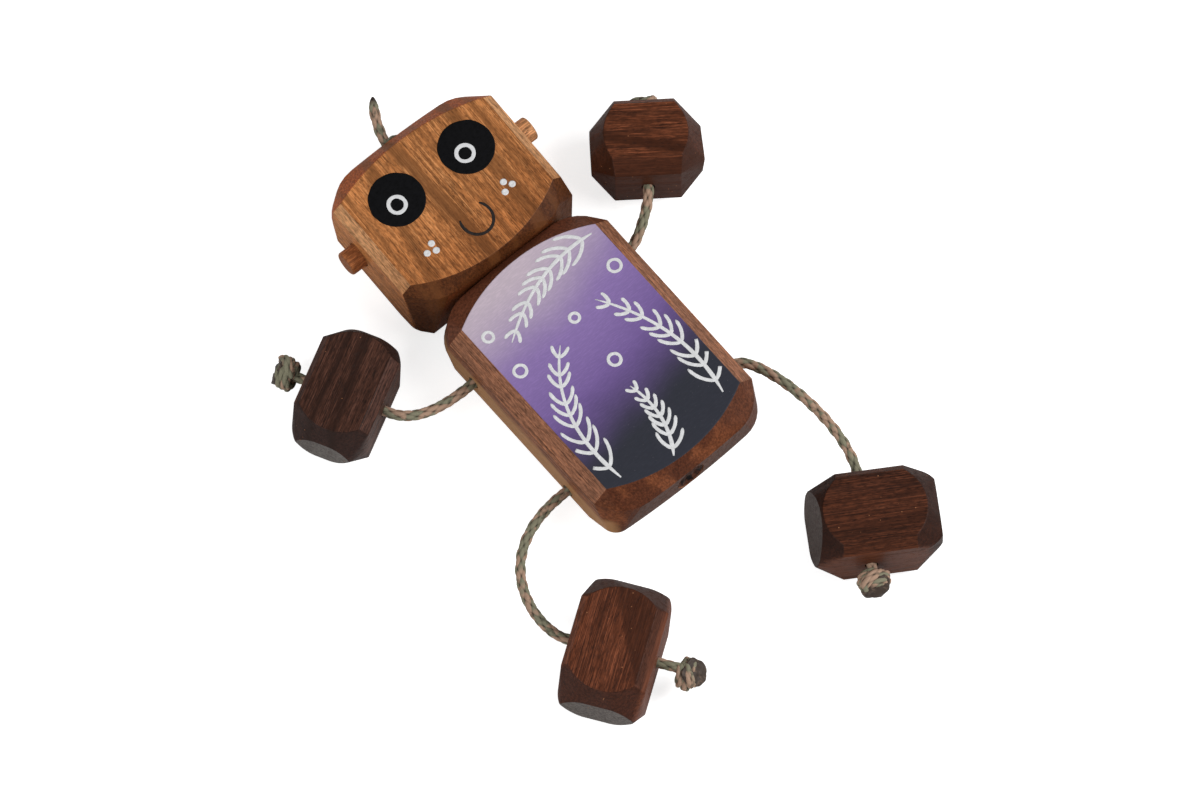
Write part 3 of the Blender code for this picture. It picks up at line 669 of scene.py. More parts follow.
def brush_material(name, colour, roughness, shade, specular):
    """Hand-brushed paint with bristle marks."""
    material, tree, shader = new_material(name, specular)
    place = add_node(tree, "TexCoord").outputs["Object"]
    bristle = noise_value(tree, place, (900.0, 2600.0, 900.0), 3.0, 0.6)
    cover = noise_value(tree, place, even(700.0), 3.0)
    patch = smooth_step(tree, maths(tree, "MULTIPLY", bristle, cover), 0.16, 0.42)
    tree.links.new(mix_colour(tree, patch, solid(shade), solid(colour)), shader.inputs["Base Color"])
    rough = maths(tree, "MULTIPLY_ADD", cover, 0.2, roughness)
    tree.links.new(rough, shader.inputs["Roughness"])
    add_bump(tree, shader, bristle, 0.00006)
    return material


# Mesh helpers

INSET_STEPS = 60
ROUNDING_STEP = 12
SHARP_ANGLE = math.radians(40)


def finish_piece(name, mesh, material, slot, body, *nodes):
    """Adds a finished mesh as a piece that rides on a body and stands for CAD nodes."""
    piece = bpy.data.objects.new(name, mesh)
    bpy.context.scene.collection.objects.link(piece)
    mesh.materials.clear()
    mesh.materials.append(material)
    for face in mesh.polygons:
        face.use_smooth = True
    if body:
        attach(piece, body)
    if nodes:
        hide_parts(*nodes)
    return piece


def mesh_from(bm, name):
    """Turns a closed bmesh into mesh data with its faces outwards."""
    bmesh.ops.recalc_face_normals(bm, faces=bm.faces)
    mesh = bpy.data.meshes.new(name)
    bm.to_mesh(mesh)
    bm.free()
    return mesh


def hull_of(points):
    """Closed convex bmesh round the given points."""
    bm = bmesh.new()
    for point in points:
        bm.verts.new(point)
    bmesh.ops.remove_doubles(bm, verts=bm.verts, dist=1e-6)
    made = bmesh.ops.convex_hull(bm, input=bm.verts, use_existing_faces=False)
    spare = set(made["geom_interior"]) | set(made["geom_unused"])
    loose = [item for item in spare if isinstance(item, bmesh.types.BMVert)]
    bmesh.ops.delete(bm, geom=loose, context="VERTS")
    return bm


def inset_corner(vert, depth):
    """A corner moved to about that depth below each face round it, and those faces' normals."""
    normals = []
    for face in vert.link_faces:
        if all(face.normal.dot(other) < 0.9995 for other in normals):
            normals.append(face.normal.copy())
    inward = Vector((0.0, 0.0, 0.0))
    for _ in range(INSET_STEPS):
        for normal in normals:
            short = depth + inward.dot(normal)
            inward -= 0.5 * short * normal
    return vert.co + inward, normals


def solid_points(node):
    """The corners of a CAD solid."""
    return [vert.co.copy() for vert in frame["nodes"][node].data.vertices]


def eased_block(bm, name, radius):
    """A convex block with every edge rounded."""
    bmesh.ops.dissolve_limit(bm, angle_limit=math.radians(0.4), verts=bm.verts, edges=bm.edges)
    bmesh.ops.recalc_face_normals(bm, faces=bm.faces)
    bm.normal_update()
    points = []
    for vert in bm.verts:
        corner, normals = inset_corner(vert, radius)
        directions = list(normals)
        for edge in vert.link_edges:
            near, far = (face.normal for face in edge.link_faces)
            steps = 1 + round(math.degrees(near.angle(far)) / ROUNDING_STEP)
            for step in range(1, steps):
                directions.append(near.lerp(far, step / steps).normalized())
        middle = sum(normals, Vector((0.0, 0.0, 0.0))).normalized()
        directions.append(middle)
        directions += [middle.lerp(normal, 0.5).normalized() for normal in normals]
        points += [corner + radius * direction for direction in directions]
    bm.free()
    bm = hull_of(points)
    bmesh.ops.dissolve_limit(bm, angle_limit=math.radians(0.3), verts=bm.verts, edges=bm.edges)
    return mesh_from(bm, name)


def rod_mesh(start, end, radius, sides=40, rounding=0.0):
    """Round rod between two points, with rounded rims where a rounding is given."""
    axis = end - start
    turn = UP.rotation_difference(axis).to_matrix().to_4x4()
    bm = bmesh.new()
    bmesh.ops.create_cone(
        bm, cap_ends=True, segments=sides, radius1=radius, radius2=radius, depth=axis.length
    )
    if rounding:
        rims = [edge for edge in bm.edges if abs(edge.verts[0].co.z - edge.verts[1].co.z) < 1e-7]
        bmesh.ops.bevel(
            bm, geom=rims, offset=rounding, segments=4, profile=0.5, affect="EDGES", material=-1
        )
    bmesh.ops.transform(bm, matrix=Matrix.Translation((start + end) / 2) @ turn, verts=bm.verts)
    return mesh_from(bm, "rod")


def bored(mesh, rods):
    """The mesh with round holes cut through it, each given as start, end and radius."""
    block = bpy.data.objects.new("bored_block", mesh)
    bpy.context.scene.collection.objects.link(block)
    cutters = []
    for start, end, radius in rods:
        cutter = bpy.data.objects.new("bore_cutter", rod_mesh(start, end, radius))
        bpy.context.scene.collection.objects.link(cutter)
        cutters.append(cutter)
        modifier = block.modifiers.new("bore", "BOOLEAN")
        modifier.operation = "DIFFERENCE"
        modifier.solver = "EXACT"
        modifier.object = cutter
    bpy.context.view_layer.update()
    graph = bpy.context.evaluated_depsgraph_get()
    made = bpy.data.meshes.new_from_object(block.evaluated_get(graph))
    for used in [block, *cutters]:
        bpy.data.objects.remove(used, do_unlink=True)
    return made


def weigh_normals(piece):
    """Keeps flat faces flat beside their rounded edges."""
    modifier = piece.modifiers.new("flat_faces", "WEIGHTED_NORMAL")
    modifier.mode = "FACE_AREA"
    modifier.weight = 100
    modifier.keep_sharp = True
    piece.data.set_sharp_from_angle(angle=SHARP_ANGLE)


# The cord

PLAIT_STRANDS = 4
PLAIT_SIDES = 56
PLAIT_STEP = 0.0002
PLAIT_RELIEF = 0.48
DYE_LENGTH = 0.0070
MELTED_LENGTH = 0.0030
KNOT_TURNS = 2.15
CAP_RADIUS = 0.0046
CAP_THICKNESS = 0.0026
CAP_SUNK = 0.0010
CAP_RISE = 0.0020
BIGHT_TURN = math.radians(20)
BIGHT_SWEEP = math.radians(95)
CORD_LAYERS = ("dye", "groove_shade", "melted")

# First seed of the dye in each kind of cord piece
LIMB_SEED = 1
RUN_SEED = 11
BIGHT_SEED = 15
INNER_SEED = 21
NECK_SEED = 25
LOW_KNOT_SEED = 26
TOP_KNOT_SEED = 31
ANTENNA_SEED = 32


def bezier(start, start_pull, end, end_pull, steps):
    """Points along a cubic curve that leaves along start_pull and arrives along end_pull."""
    near = start + start_pull
    far = end - end_pull
    points = []
    for step in range(steps + 1):
        t = step / steps
        s = 1 - t
        points.append(s**3 * start + 3 * s * s * t * near + 3 * s * t * t * far + t**3 * end)
    return points


def evenly(points, step):
    """The same line with points about a step apart, and its length."""
    lengths = [0.0]
    for near, far in zip(points, points[1:]):
        lengths.append(lengths[-1] + (far - near).length)
    count = max(2, round(lengths[-1] / step))
    spaced = []
    index = 0
    for place in range(count + 1):
        wanted = lengths[-1] * place / count
        while index < len(points) - 2 and lengths[index + 1] < wanted:
            index += 1
        span = max(1e-9, lengths[index + 1] - lengths[index])
        spaced.append(points[index].lerp(points[index + 1], (wanted - lengths[index]) / span))
    return spaced, lengths[-1]


def frames_along(points):
    """Two directions across the line at each point, carried along without twist."""
    tangents = []
    for index in range(len(points)):
        before = points[max(0, index - 1)]
        after = points[min(len(points) - 1, index + 1)]
        tangents.append((after - before).normalized())
    across = tangents[0].orthogonal().normalized()
    frames = []
    for tangent in tangents:
        across = (across - tangent * across.dot(tangent)).normalized()
        frames.append((across, tangent.cross(across)))
    return frames


def plait(along, turn, pitch):
    """Height from 0 to 1 of the braid's surface, and the number of the strand on top there.

    Along is the distance down the cord, and turn the share of a full turn round it.
    """
    ways = [PLAIT_STRANDS * (turn + way * along / pitch) for way in (1, -1)]
    best = (-9.0, 0)
    for way in (0, 1):
        own = ways[way]
        number = math.floor(own)
        across = 2 * (own - number) - 1
        swing = math.cos(math.pi * (number + ways[1 - way] - 0.5))
        if way == 1:
            swing = -swing
        height = 0.62 * math.sqrt(max(0.0, 1 - 0.96 * across * across)) + 0.38 * swing
        best = max(best, (height, (number % PLAIT_STRANDS) + PLAIT_STRANDS * way))
    height, strand = best
    return min(1.0, max(0.0, height)), strand


def braided_tube(name, route, cord, seed, taper=None, melt=None):
    """Mesh of a braided cord along a route, with its dye, groove depth for painted shade and melted parts as
    attributes.

    Taper and melt give the share of the radius and the melted share at a distance from either end.
    """
    points, length = evenly(route, PLAIT_STEP)
    frames = frames_along(points)
    rings = len(points) - 1
    bm = bmesh.new()
    bmesh.ops.create_grid(bm, x_segments=rings, y_segments=PLAIT_SIDES, size=0.5)
    dye, groove_shade, melted = (bm.verts.layers.float.new(layer) for layer in CORD_LAYERS)
    radius = cord.diameter / 2
    for vert in bm.verts:
        ring = min(rings, max(0, round((vert.co.x + 0.5) * rings)))
        turn = vert.co.y + 0.5
        distance = length * ring / rings
        height, strand = plait(distance, turn, cord.pitch)
        burnt = melt(distance, length) if melt else 0.0
        size = taper(distance, length) if taper else 1.0
        relief = (1 - burnt) * PLAIT_RELIEF * (height - 0.85)
        across, up = frames[ring]
        angle = 2 * math.pi * turn
        out = math.cos(angle) * across + math.sin(angle) * up
        shade = noise.noise(Vector((distance / DYE_LENGTH, strand * 7.31, seed * 3.77)))
        vert.co = points[ring] + out * radius * size * (1 + relief)
        vert[dye] = 0.5 + 0.9 * shade
        # Groove depth, which the cord material turns into painted shade
        vert[groove_shade] = (1 - height) * (1 - burnt)
        vert[melted] = burnt
    bmesh.ops.remove_doubles(bm, verts=bm.verts, dist=1e-7)
    rims = [edge for edge in bm.edges if edge.is_boundary]
    bmesh.ops.holes_fill(bm, edges=rims, sides=0)
    return mesh_from(bm, name)


def block_turn(limb):
    """The axes of a hand or foot: X along its bore, Y along its grain."""
    along = joint_way(limb.end + "_twist")
    grain = Vector((-along.y, along.x, 0.0)).normalized()
    return Matrix((along, grain, along.cross(grain))).transposed()


def limb_route(limb):
    """The way of one limb's cord from inside the body to inside its block."""
    pivot = joint_place(limb.limb + "_swing")
    centre = joint_place(limb.end + "_twist")
    along = joint_way(limb.end + "_twist")
    outwards = Vector((limb.side, 0.0, 0.0))
    mouth = centre - along * (limb.width / 2 + CORD_MOUTH)
    far_side = pivot_across(limb)
    inside = pivot.lerp(far_side, (abs(pivot.x) - SIDE_X + CORD_IN_BODY) / (pivot - far_side).length)
    free = bezier(pivot, outwards * limb.start, mouth, along * limb.arrival, 40)
    return [inside, *free, centre - along * (limb.width / 2 - CORD_IN_BLOCK)]


def pivot_across(limb):
    """Where the same cord leaves the body's other side."""
    for other in LIMBS:
        if other.side != limb.side and other.limb.split("_")[1] == limb.limb.split("_")[1]:
            return joint_place(other.limb + "_swing")
    raise ValueError(limb.limb)


def knot_route(start, axis, up, length, diameter, cord_radius, run, sag=0.0):
    """A run along the axis and then a tight stopper knot of about two turns round it, which may sag."""
    side = axis.cross(up)
    reach = diameter / 2 - cord_radius
    points = [start - axis * run]
    steps = 90
    for step in range(steps + 1):
        share = step / steps
        angle = 2 * math.pi * KNOT_TURNS * share
        opening = min(1.0, share * KNOT_TURNS * 2.6)
        closing = min(1.0, (1 - share) * KNOT_TURNS * 3.2)
        out = reach * math.sin(math.pi / 2 * opening) * (0.25 + 0.75 * math.sin(math.pi / 2 * closing))
        forward = cord_radius * 0.7 + (length - 1.7 * cord_radius) * share
        forward += 0.30 * cord_radius * math.sin(angle + 0.8) * opening * closing
        middle = start + axis * forward - UP * sag * min(1.0, 4 * share)
        points.append(middle + (math.cos(angle) * up + math.sin(angle) * side) * out)
    return points


def knot_bight(start, axis, up, length, diameter, cord_radius, turned):
    """The strand that crosses over the knot's turns and holds them."""
    side = axis.cross(up)
    points = []
    steps = 40
    for step in range(steps + 1):
        share = step / steps
        angle = turned + BIGHT_SWEEP * (share - 0.5)
        out = (diameter / 2 - 0.55 * cord_radius) * math.sin(math.pi * (0.16 + 0.68 * share)) ** 0.5
        forward = 1.2 * cord_radius + (length - 1.6 * cord_radius) * share
        points.append(start + axis * forward + (math.cos(angle) * up + math.sin(angle) * side) * out)
    return points


def melted_cap(name, place, way, seed):
    """Flat lump of melted cord, like a pressed drop."""
    turn = UP.rotation_difference(way).to_matrix()
    bm = bmesh.new()
    bmesh.ops.create_icosphere(bm, subdivisions=4, radius=1.0)
    dye, groove_shade, melted = (bm.verts.layers.float.new(layer) for layer in CORD_LAYERS)
    for vert in bm.verts:
        lump = noise.noise(vert.co * 1.6 + even_vector(seed * 5.3))
        dent = noise.noise(vert.co * 3.4 + even_vector(seed * 2.1))
        flat = math.hypot(vert.co.x, vert.co.y)
        rise = math.copysign(abs(vert.co.z) ** 0.6, vert.co.z) * CAP_THICKNESS / 2 * (1 + 0.5 * dent)
        share = CAP_RADIUS * (1 + 0.20 * lump)
        rise += 0.12 * CAP_THICKNESS * lump * flat
        local = Vector((vert.co.x * share, vert.co.y * share * 0.9, rise))
        vert.co = place + turn @ local
        vert[dye] = 0.3
        vert[groove_shade] = 0.0
        vert[melted] = 0.92
    return mesh_from(bm, name)


def even_vector(value):
    """The same number along each axis."""
    return Vector(even(value))


def burnt_end(distance, length):
    """Melted share that rises over the last stretch of a cord."""
    return max(0.0, min(1.0, 1.6 * (1 - (length - distance) / MELTED_LENGTH)))


# Operators

# Where the camera looks, and each lamp's place and share of the power, in metres
AIM = Vector((-0.0093, -0.0106, FRONT_Z))
LAMPS = (("right_lamp", (0.60, -0.46, 0.72), 1.0), ("left_lamp", (-0.85, -0.05, 0.62), 0.54))
LAMP_SIZE = 0.7
FLOOR_REACH = 2.0
FLOOR_DROP = 0.0001


class ROBOTTOY_OT_stage(bpy.types.Operator):
    """Sets the camera, the soft light and the white floor"""

    bl_idname = "robot_toy.set_stage"
    bl_label = "Stage"

    def execute(self, context):
        stage = context.scene.robot_stage
        scene = context.scene
        scene.view_settings.view_transform = "Standard"
        flat = math.cos(stage.elevation)
        back = Vector((
            math.sin(stage.azimuth) * flat, -math.cos(stage.azimuth) * flat, math.sin(stage.elevation)
        ))
        camera = bpy.data.cameras.new("view")
        camera.sensor_width = 36.0
        camera.lens = camera.sensor_width * stage.distance / stage.view_width
        camera.clip_end = 3 * stage.distance
        eye = bpy.data.objects.new("view", camera)
        eye.location = AIM + back * stage.distance
        eye.rotation_euler = (-back).to_track_quat("-Z", "Y").to_euler()
        scene.collection.objects.link(eye)
        scene.camera = eye
        for name, place, share in LAMPS:
            self.add_lamp(scene, name, place, share * stage.lamp)
        self.set_world(scene, stage.sky)
        self.add_floor(scene)
        return {"FINISHED"}

    def add_lamp(self, scene, name, place, power):
        """Square area lamp that looks at the toy."""
        lamp = bpy.data.lights.new(name, "AREA")
        lamp.size = LAMP_SIZE
        lamp.energy = power
        holder = bpy.data.objects.new(name, lamp)
        holder.location = place
        holder.rotation_euler = (AIM - Vector(place)).to_track_quat("-Z", "Y").to_euler()
        scene.collection.objects.link(holder)

    def seen_directly(self, tree):
        """1 where the camera looks straight, or through something clear, and 0 elsewhere."""
        path = add_node(tree, "LightPath").outputs
        return maths(tree, "MAXIMUM", path["Is Camera Ray"], path["Is Transmission Ray"])

    def set_world(self, scene, sky):
        """Even white surroundings that show as plain white."""
        world = bpy.data.worlds.new("white_surroundings")
        world.use_nodes = True
        scene.world = world
        tree = world.node_tree
        background = tree.nodes["Background"]
        background.inputs["Color"].default_value = (1.0, 1.0, 1.0, 1.0)
        strength = smooth_step(tree, self.seen_directly(tree), 0.0, 1.0, sky, 1.0)
        tree.links.new(strength, background.inputs["Strength"])

    def add_floor(self, scene):
        """Pale floor that keeps a faint shadow and otherwise shows as white."""
        bm = bmesh.new()
        bmesh.ops.create_grid(bm, x_segments=1, y_segments=1, size=FLOOR_REACH)
        floor = bpy.data.objects.new("floor", mesh_from(bm, "floor"))
        floor.location = (0.0, 0.0, -FLOOR_DROP)
        scene.collection.objects.link(floor)
        material, tree, shader = new_material("pale_floor", 0.0)
        shader.inputs["Base Color"].default_value = (0.80, 0.80, 0.80, 1.0)
        shader.inputs["Roughness"].default_value = 0.9
        shader.inputs["Emission Color"].default_value = (1.0, 1.0, 1.0, 1.0)
        glow = maths(tree, "MULTIPLY", self.seen_directly(tree), 0.72)
        tree.links.new(glow, shader.inputs["Emission Strength"])
        floor.data.materials.append(material)


class ROBOTTOY_OT_limb_cords(bpy.types.Operator):
    """Adds the braided cord of each arm and leg, which bends where it leaves the body"""

    bl_idname = "robot_toy.add_limb_cords"
    bl_label = "Limb cords"

    def execute(self, context):
        cord = context.scene.robot_cord
        for index, limb in enumerate(LIMBS):
            route = limb_route(limb)
            mesh = braided_tube(limb.limb + "_braid", route, cord, index + LIMB_SEED)
            piece = finish_piece(limb.limb + "_braid", mesh, cord_material(cord), "cord", None)
            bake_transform(piece)
            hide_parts(limb.limb + "_cord")
        return {"FINISHED"}


class ROBOTTOY_OT_knots(bpy.types.Operator):
    """Adds the cord through each hand and foot with its stopper knot and melted end"""

    bl_idname = "robot_toy.add_knots"
    bl_label = "Stopper knots"

    def execute(self, context):
        cord = context.scene.robot_cord
        material = cord_material(cord)
        radius = cord.diameter / 2
        for index, limb in enumerate(LIMBS):
            turn = block_turn(limb)
            along = turn.col[0]
            body = limb.end + "_end"
            start = joint_place(limb.end + "_twist") + along * (limb.width / 2 + limb.slack)
            run = limb.width + limb.slack - CORD_IN_BLOCK - CLEARANCE
            size = (limb.knot_length, KNOT_DIAMETER, radius)
            route = knot_route(start, along, turn.col[2], *size, run, limb.sag)
            start -= limb.sag * UP
            mesh = braided_tube(limb.end + "_knotted_run", route, cord, index + RUN_SEED, melt=burnt_end)
            nodes = (limb.end + "_cord", limb.end + "_knot")
            finish_piece(limb.end + "_knotted_run", mesh, material, "cord", body, *nodes)
            bight = knot_bight(start, along, turn.col[2], *size, BIGHT_TURN)
            mesh = braided_tube(limb.end + "_knot_bight", bight, cord, index + BIGHT_SEED)
            finish_piece(limb.end + "_knot_bight", mesh, material, "cord", body)
            way = (along + limb.tilt * UP).normalized()
            place = start + along * (limb.knot_length - CAP_SUNK) + CAP_RISE * limb.tilt * UP
            mesh = melted_cap(limb.end + "_melted_end", place, way, index + LIMB_SEED)
            finish_piece(limb.end + "_melted_end", mesh, material, "cord", body)
        return {"FINISHED"}


class ROBOTTOY_OT_inner_cords(bpy.types.Operator):
    """Adds the stretches of cord that the blocks hide, and the lower knot of the neck cord"""

    bl_idname = "robot_toy.add_inner_cords"
    bl_label = "Inner cords"

    def execute(self, context):
        cord = context.scene.robot_cord
        material = cord_material(cord)
        for index, limb in enumerate(LIMBS):
            if limb.side > 0:
                continue
            name = limb.limb.split("_")[1]
            near = joint_place(limb.limb + "_swing")
            far = pivot_across(limb)
            cut = (abs(near.x) - SIDE_X + CORD_IN_BODY + CLEARANCE) / (far - near).length
            route = [near.lerp(far, cut), far.lerp(near, cut)]
            mesh = braided_tube(name + "_inner_braid", route, cord, index + INNER_SEED)
            finish_piece(name + "_inner_braid", mesh, material, "cord", "body", name + "_cord_in_body")
        low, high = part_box("neck_knot_low")
        start = Vector((NECK.x, high.y, NECK.z))
        top = NECK + NECK_WAY * (HEAD_HEIGHT + NECK_KNOT_SHOWING - NECK_KNOT_LENGTH - CLEARANCE)
        route = [start + Vector((0.0, CLEARANCE, 0.0)), NECK, top]
        mesh = braided_tube("neck_braid", route, cord, NECK_SEED)
        finish_piece("neck_braid", mesh, material, "cord", "body", "neck_cord")
        route = knot_route(
            start, Vector((0.0, -1.0, 0.0)), UP, high.y - low.y, NECK_KNOT_DIAMETER, cord.diameter / 2, 0.0
        )
        mesh = braided_tube("neck_low_knot", route, cord, LOW_KNOT_SEED)
        finish_piece("neck_low_knot", mesh, material, "cord", "body", "neck_knot_low")
        return {"FINISHED"}


class ROBOTTOY_OT_antenna(bpy.types.Operator):
    """Adds the knot sunk in the head's top and the cord tail that stands as an antenna"""

    bl_idname = "robot_toy.add_antenna"
    bl_label = "Antenna"

    def execute(self, context):
        cord = context.scene.robot_cord
        top = NECK + NECK_WAY * (HEAD_HEIGHT + NECK_KNOT_SHOWING)
        start = top - NECK_WAY * NECK_KNOT_LENGTH
        route = knot_route(
            start, NECK_WAY, UP, NECK_KNOT_LENGTH, NECK_KNOT_DIAMETER, cord.diameter / 2, 0.0
        )
        mesh = braided_tube("neck_top_knot", route, cord, TOP_KNOT_SEED)
        finish_piece("neck_top_knot", mesh, cord_material(cord), "cord", "head", "neck_knot_top")
        tip = top + CLEARANCE * NECK_WAY + ANTENNA_LENGTH * (HEAD_TURN @ Vector(ANTENNA_REACH).normalized())
        root = top - ANTENNA_SUNK * NECK_WAY - ANTENNA_ASIDE * HEAD_TURN.col[0]
        third = ANTENNA_LENGTH / 3
        lean = third * (HEAD_TURN @ Vector(ANTENNA_LEAN).normalized())
        route = bezier(root, third * NECK_WAY, tip, lean, 30)
        mesh = braided_tube(
            "antenna_braid", route, cord, ANTENNA_SEED, taper=self.pointed, melt=burnt_end
        )
        finish_piece("antenna_braid", mesh, cord_material(cord), "cord", "head", "antenna_cord")
        return {"FINISHED"}

    @staticmethod
    def pointed(distance, length):
        """Share of the radius near the pinched tip."""
        left = max(0.0, (length - distance) / MELTED_LENGTH)
        return max(0.12, min(1.0, 0.15 + 0.85 * left ** 0.7))


class ROBOTTOY_OT_body(bpy.types.Operator):
    """Adds the body block with its bores and painted front"""

    bl_idname = "robot_toy.add_body"
    bl_label = "Body"

    def execute(self, context):
        wood = context.scene.robot_wood
        mesh = eased_block(hull_of(solid_points("body")), "body_block", wood.edge)
        low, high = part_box("body")
        plug_low, plug_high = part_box("neck_plug")
        rods = []
        for limb in LIMBS[::2]:
            near = joint_place(limb.limb + "_swing")
            far = pivot_across(limb)
            rods.append((near.lerp(far, -0.1), near.lerp(far, 1.1), BORE_RADIUS))
        neck = Vector((NECK.x, 0.0, NECK.z))
        bottom = neck + Vector((0.0, low.y, 0.0))
        along = Vector((0.0, 1.0, 0.0))
        above = neck + (high.y + BORE_OVERRUN) * along
        rods.append((bottom + NECK_BORE_START * along, above, BORE_RADIUS))
        pocket = (plug_high.x - plug_low.x) / 2 + CLEARANCE
        rods.append((bottom - BORE_OVERRUN * along, bottom + PLUG_POCKET_DEPTH * along, pocket))
        piece = finish_piece(
            "body_block", bored(mesh, rods), body_material(wood, context.scene.robot_paint),
            "body_walnut", "body", "body",
        )
        weigh_normals(piece)
        return {"FINISHED"}


# Rings cut into the plug's face, as shares of its radius, and the depth and roughness of its dent
PLUG_RINGS = (0.07, 0.15, 0.15, 0.18, 0.24)
PLUG_DENT = 0.0011
PLUG_ROUGHNESS = 0.0010


class ROBOTTOY_OT_neck_plug(bpy.types.Operator):
    """Adds the rough dark plug that closes the neck pocket"""

    bl_idname = "robot_toy.add_neck_plug"
    bl_label = "Neck plug"

    def execute(self, context):
        low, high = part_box("neck_plug")
        radius = (high.x - low.x) / 2
        middle = (low + high) / 2
        bm = bmesh.new()
        turn = Matrix.Translation(middle) @ Matrix.Rotation(math.pi / 2, 4, "X")
        bmesh.ops.create_cone(
            bm, cap_ends=True, segments=64, radius1=radius, radius2=radius, depth=high.y - low.y, matrix=turn
        )
        face = min(bm.faces, key=lambda item: item.calc_center_median().y)
        for share in PLUG_RINGS:
            bmesh.ops.inset_region(bm, faces=[face], thickness=share * radius, use_even_offset=True)
        for vert in bm.verts:
            if vert.co.y < low.y + 1e-5:
                flat = Vector((vert.co.x - middle.x, 0.0, vert.co.z - middle.z))
                inner = min(1.0, (radius - flat.length) / (0.3 * radius))
                lump = noise.noise(Vector((vert.co.x * 420.0, 3.1, vert.co.z * 420.0)))
                vert.co.y += inner * (PLUG_DENT + PLUG_ROUGHNESS * lump)
        piece = finish_piece(
            "neck_plug_wood", mesh_from(bm, "neck_plug_wood"), plug_material(context.scene.robot_wood),
            "dark_walnut", "body", "neck_plug",
        )
        piece.data.set_sharp_from_angle(angle=math.radians(50))
        return {"FINISHED"}


def ear_ends(name):
    """Inner and outer end of one ear peg, and its radius."""
    low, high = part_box(name)
    middle = (low + high) / 2
    half = EAR_LENGTH / 2 * (HEAD_TURN @ Vector((math.copysign(1.0, middle.x), 0.0, 0.0)))
    return middle - half, middle + half, (high.z - low.z) / 2


class ROBOTTOY_OT_head(bpy.types.Operator):
    """Adds the head block with its neck bore, knot pocket and ear holes"""

    bl_idname = "robot_toy.add_head"
    bl_label = "Head"

    def execute(self, context):
        wood = context.scene.robot_wood
        corners = [Vector(corner) for corner in HEAD_CORNERS]
        mesh = eased_block(hull_of(solid_points("head") + corners), "head_block", wood.edge)
        top = NECK + NECK_WAY * HEAD_HEIGHT
        pocket = NECK_KNOT_DIAMETER / 2 + 2 * CLEARANCE
        sunk = NECK_KNOT_LENGTH - NECK_KNOT_SHOWING + CLEARANCE
        rods = [
            (NECK - BORE_OVERRUN * NECK_WAY, top - NECK_BORE_STOP * NECK_WAY, BORE_RADIUS),
            (top - sunk * NECK_WAY, top + BORE_OVERRUN * NECK_WAY, pocket),
        ]
        for name in ("right_ear", "left_ear"):
            inner, outer, radius = ear_ends(name)
            spare = CLEARANCE * (outer - inner).normalized()
            rods.append((inner - spare, outer + spare, radius + CLEARANCE))
        mesh = bored(mesh, rods)
        piece = finish_piece("head_block", mesh, head_material(wood), "head_wood", "head", "head")
        weigh_normals(piece)
        return {"FINISHED"}


class ROBOTTOY_OT_ears(bpy.types.Operator):
    """Adds the two dowel ears"""

    bl_idname = "robot_toy.add_ears"
    bl_label = "Ear pegs"

    def execute(self, context):
        material = peg_material(context.scene.robot_wood)
        for name in ("right_ear", "left_ear"):
            inner, outer, radius = ear_ends(name)
            mesh = rod_mesh(inner, outer, radius, 56, EAR_ROUNDING)
            piece = finish_piece(name + "_peg", mesh, material, "peg_wood", "head", name)
            weigh_normals(piece)
        return {"FINISHED"}


# Level about which a sawn end slants, as a share of half the block's height
SLANT_LEVEL = -0.4
ARC_STEPS = 24


def barrel_block(limb):
    """Hull of one hand or foot: arcs end its faces, its corners are cut and its ends are sawn flat."""
    shape = limb.shape
    turn = block_turn(limb)
    centre = joint_place(limb.end + "_twist")
    local = [turn.transposed() @ (point - centre) for point in solid_points(limb.end)]
    low, high = (Vector([pick(point[axis] for point in local) for axis in range(3)]) for pick in (min, max))
    half = (high - low) / 2
    near, far = (half.x - chamfer for chamfer in shape.chamfers)
    first, last = -math.asin(near / shape.arc), math.asin(far / shape.arc)
    points = []
    for end, form in zip((-1, 1), shape.ends):
        arc_centre = half.y - form.bevel - shape.arc
        for step in range(ARC_STEPS + 1):
            angle = first + (last - first) * step / ARC_STEPS
            arc = end * (arc_centre + shape.arc * math.cos(angle))
            points += [(shape.arc * math.sin(angle), arc, level) for level in (-half.z, half.z)]
            angle = math.pi / 2 * step / ARC_STEPS
            across = half.x - form.cut * (1 - max(0.0, math.cos(angle)) ** (2 / form.fullness))
            short = (form.reach + form.over) * (1 - math.sin(angle) ** (2 / form.fullness))
            along = end * (half.y + form.over - short)
            for level in (0.0, form.lift * half.z):
                points += [(side * across, along, level) for side in (-1, 1)]
        for side, angle, chamfer in zip((-1, 1), (first, last), shape.chamfers):
            face_end = arc_centre + shape.arc * math.cos(angle)
            shoulder = face_end + (half.y - form.reach - face_end) * chamfer / half.z
            for level in (chamfer - half.z, half.z - chamfer):
                points.append((side * half.x, end * shoulder, level))
    bm = hull_of([Vector(point) for point in points])
    for end, form in zip((-1, 1), shape.ends):
        geometry = bm.verts[:] + bm.edges[:] + bm.faces[:]
        foot = Vector((0.0, end * half.y, SLANT_LEVEL * half.z))
        bmesh.ops.bisect_plane(
            bm, geom=geometry, dist=1e-7, plane_co=foot, plane_no=(0.0, end, form.slant), clear_outer=True
        )
    kept = [centre + turn @ ((low + high) / 2 + vert.co) for vert in bm.verts]
    bm.free()
    return hull_of(kept)


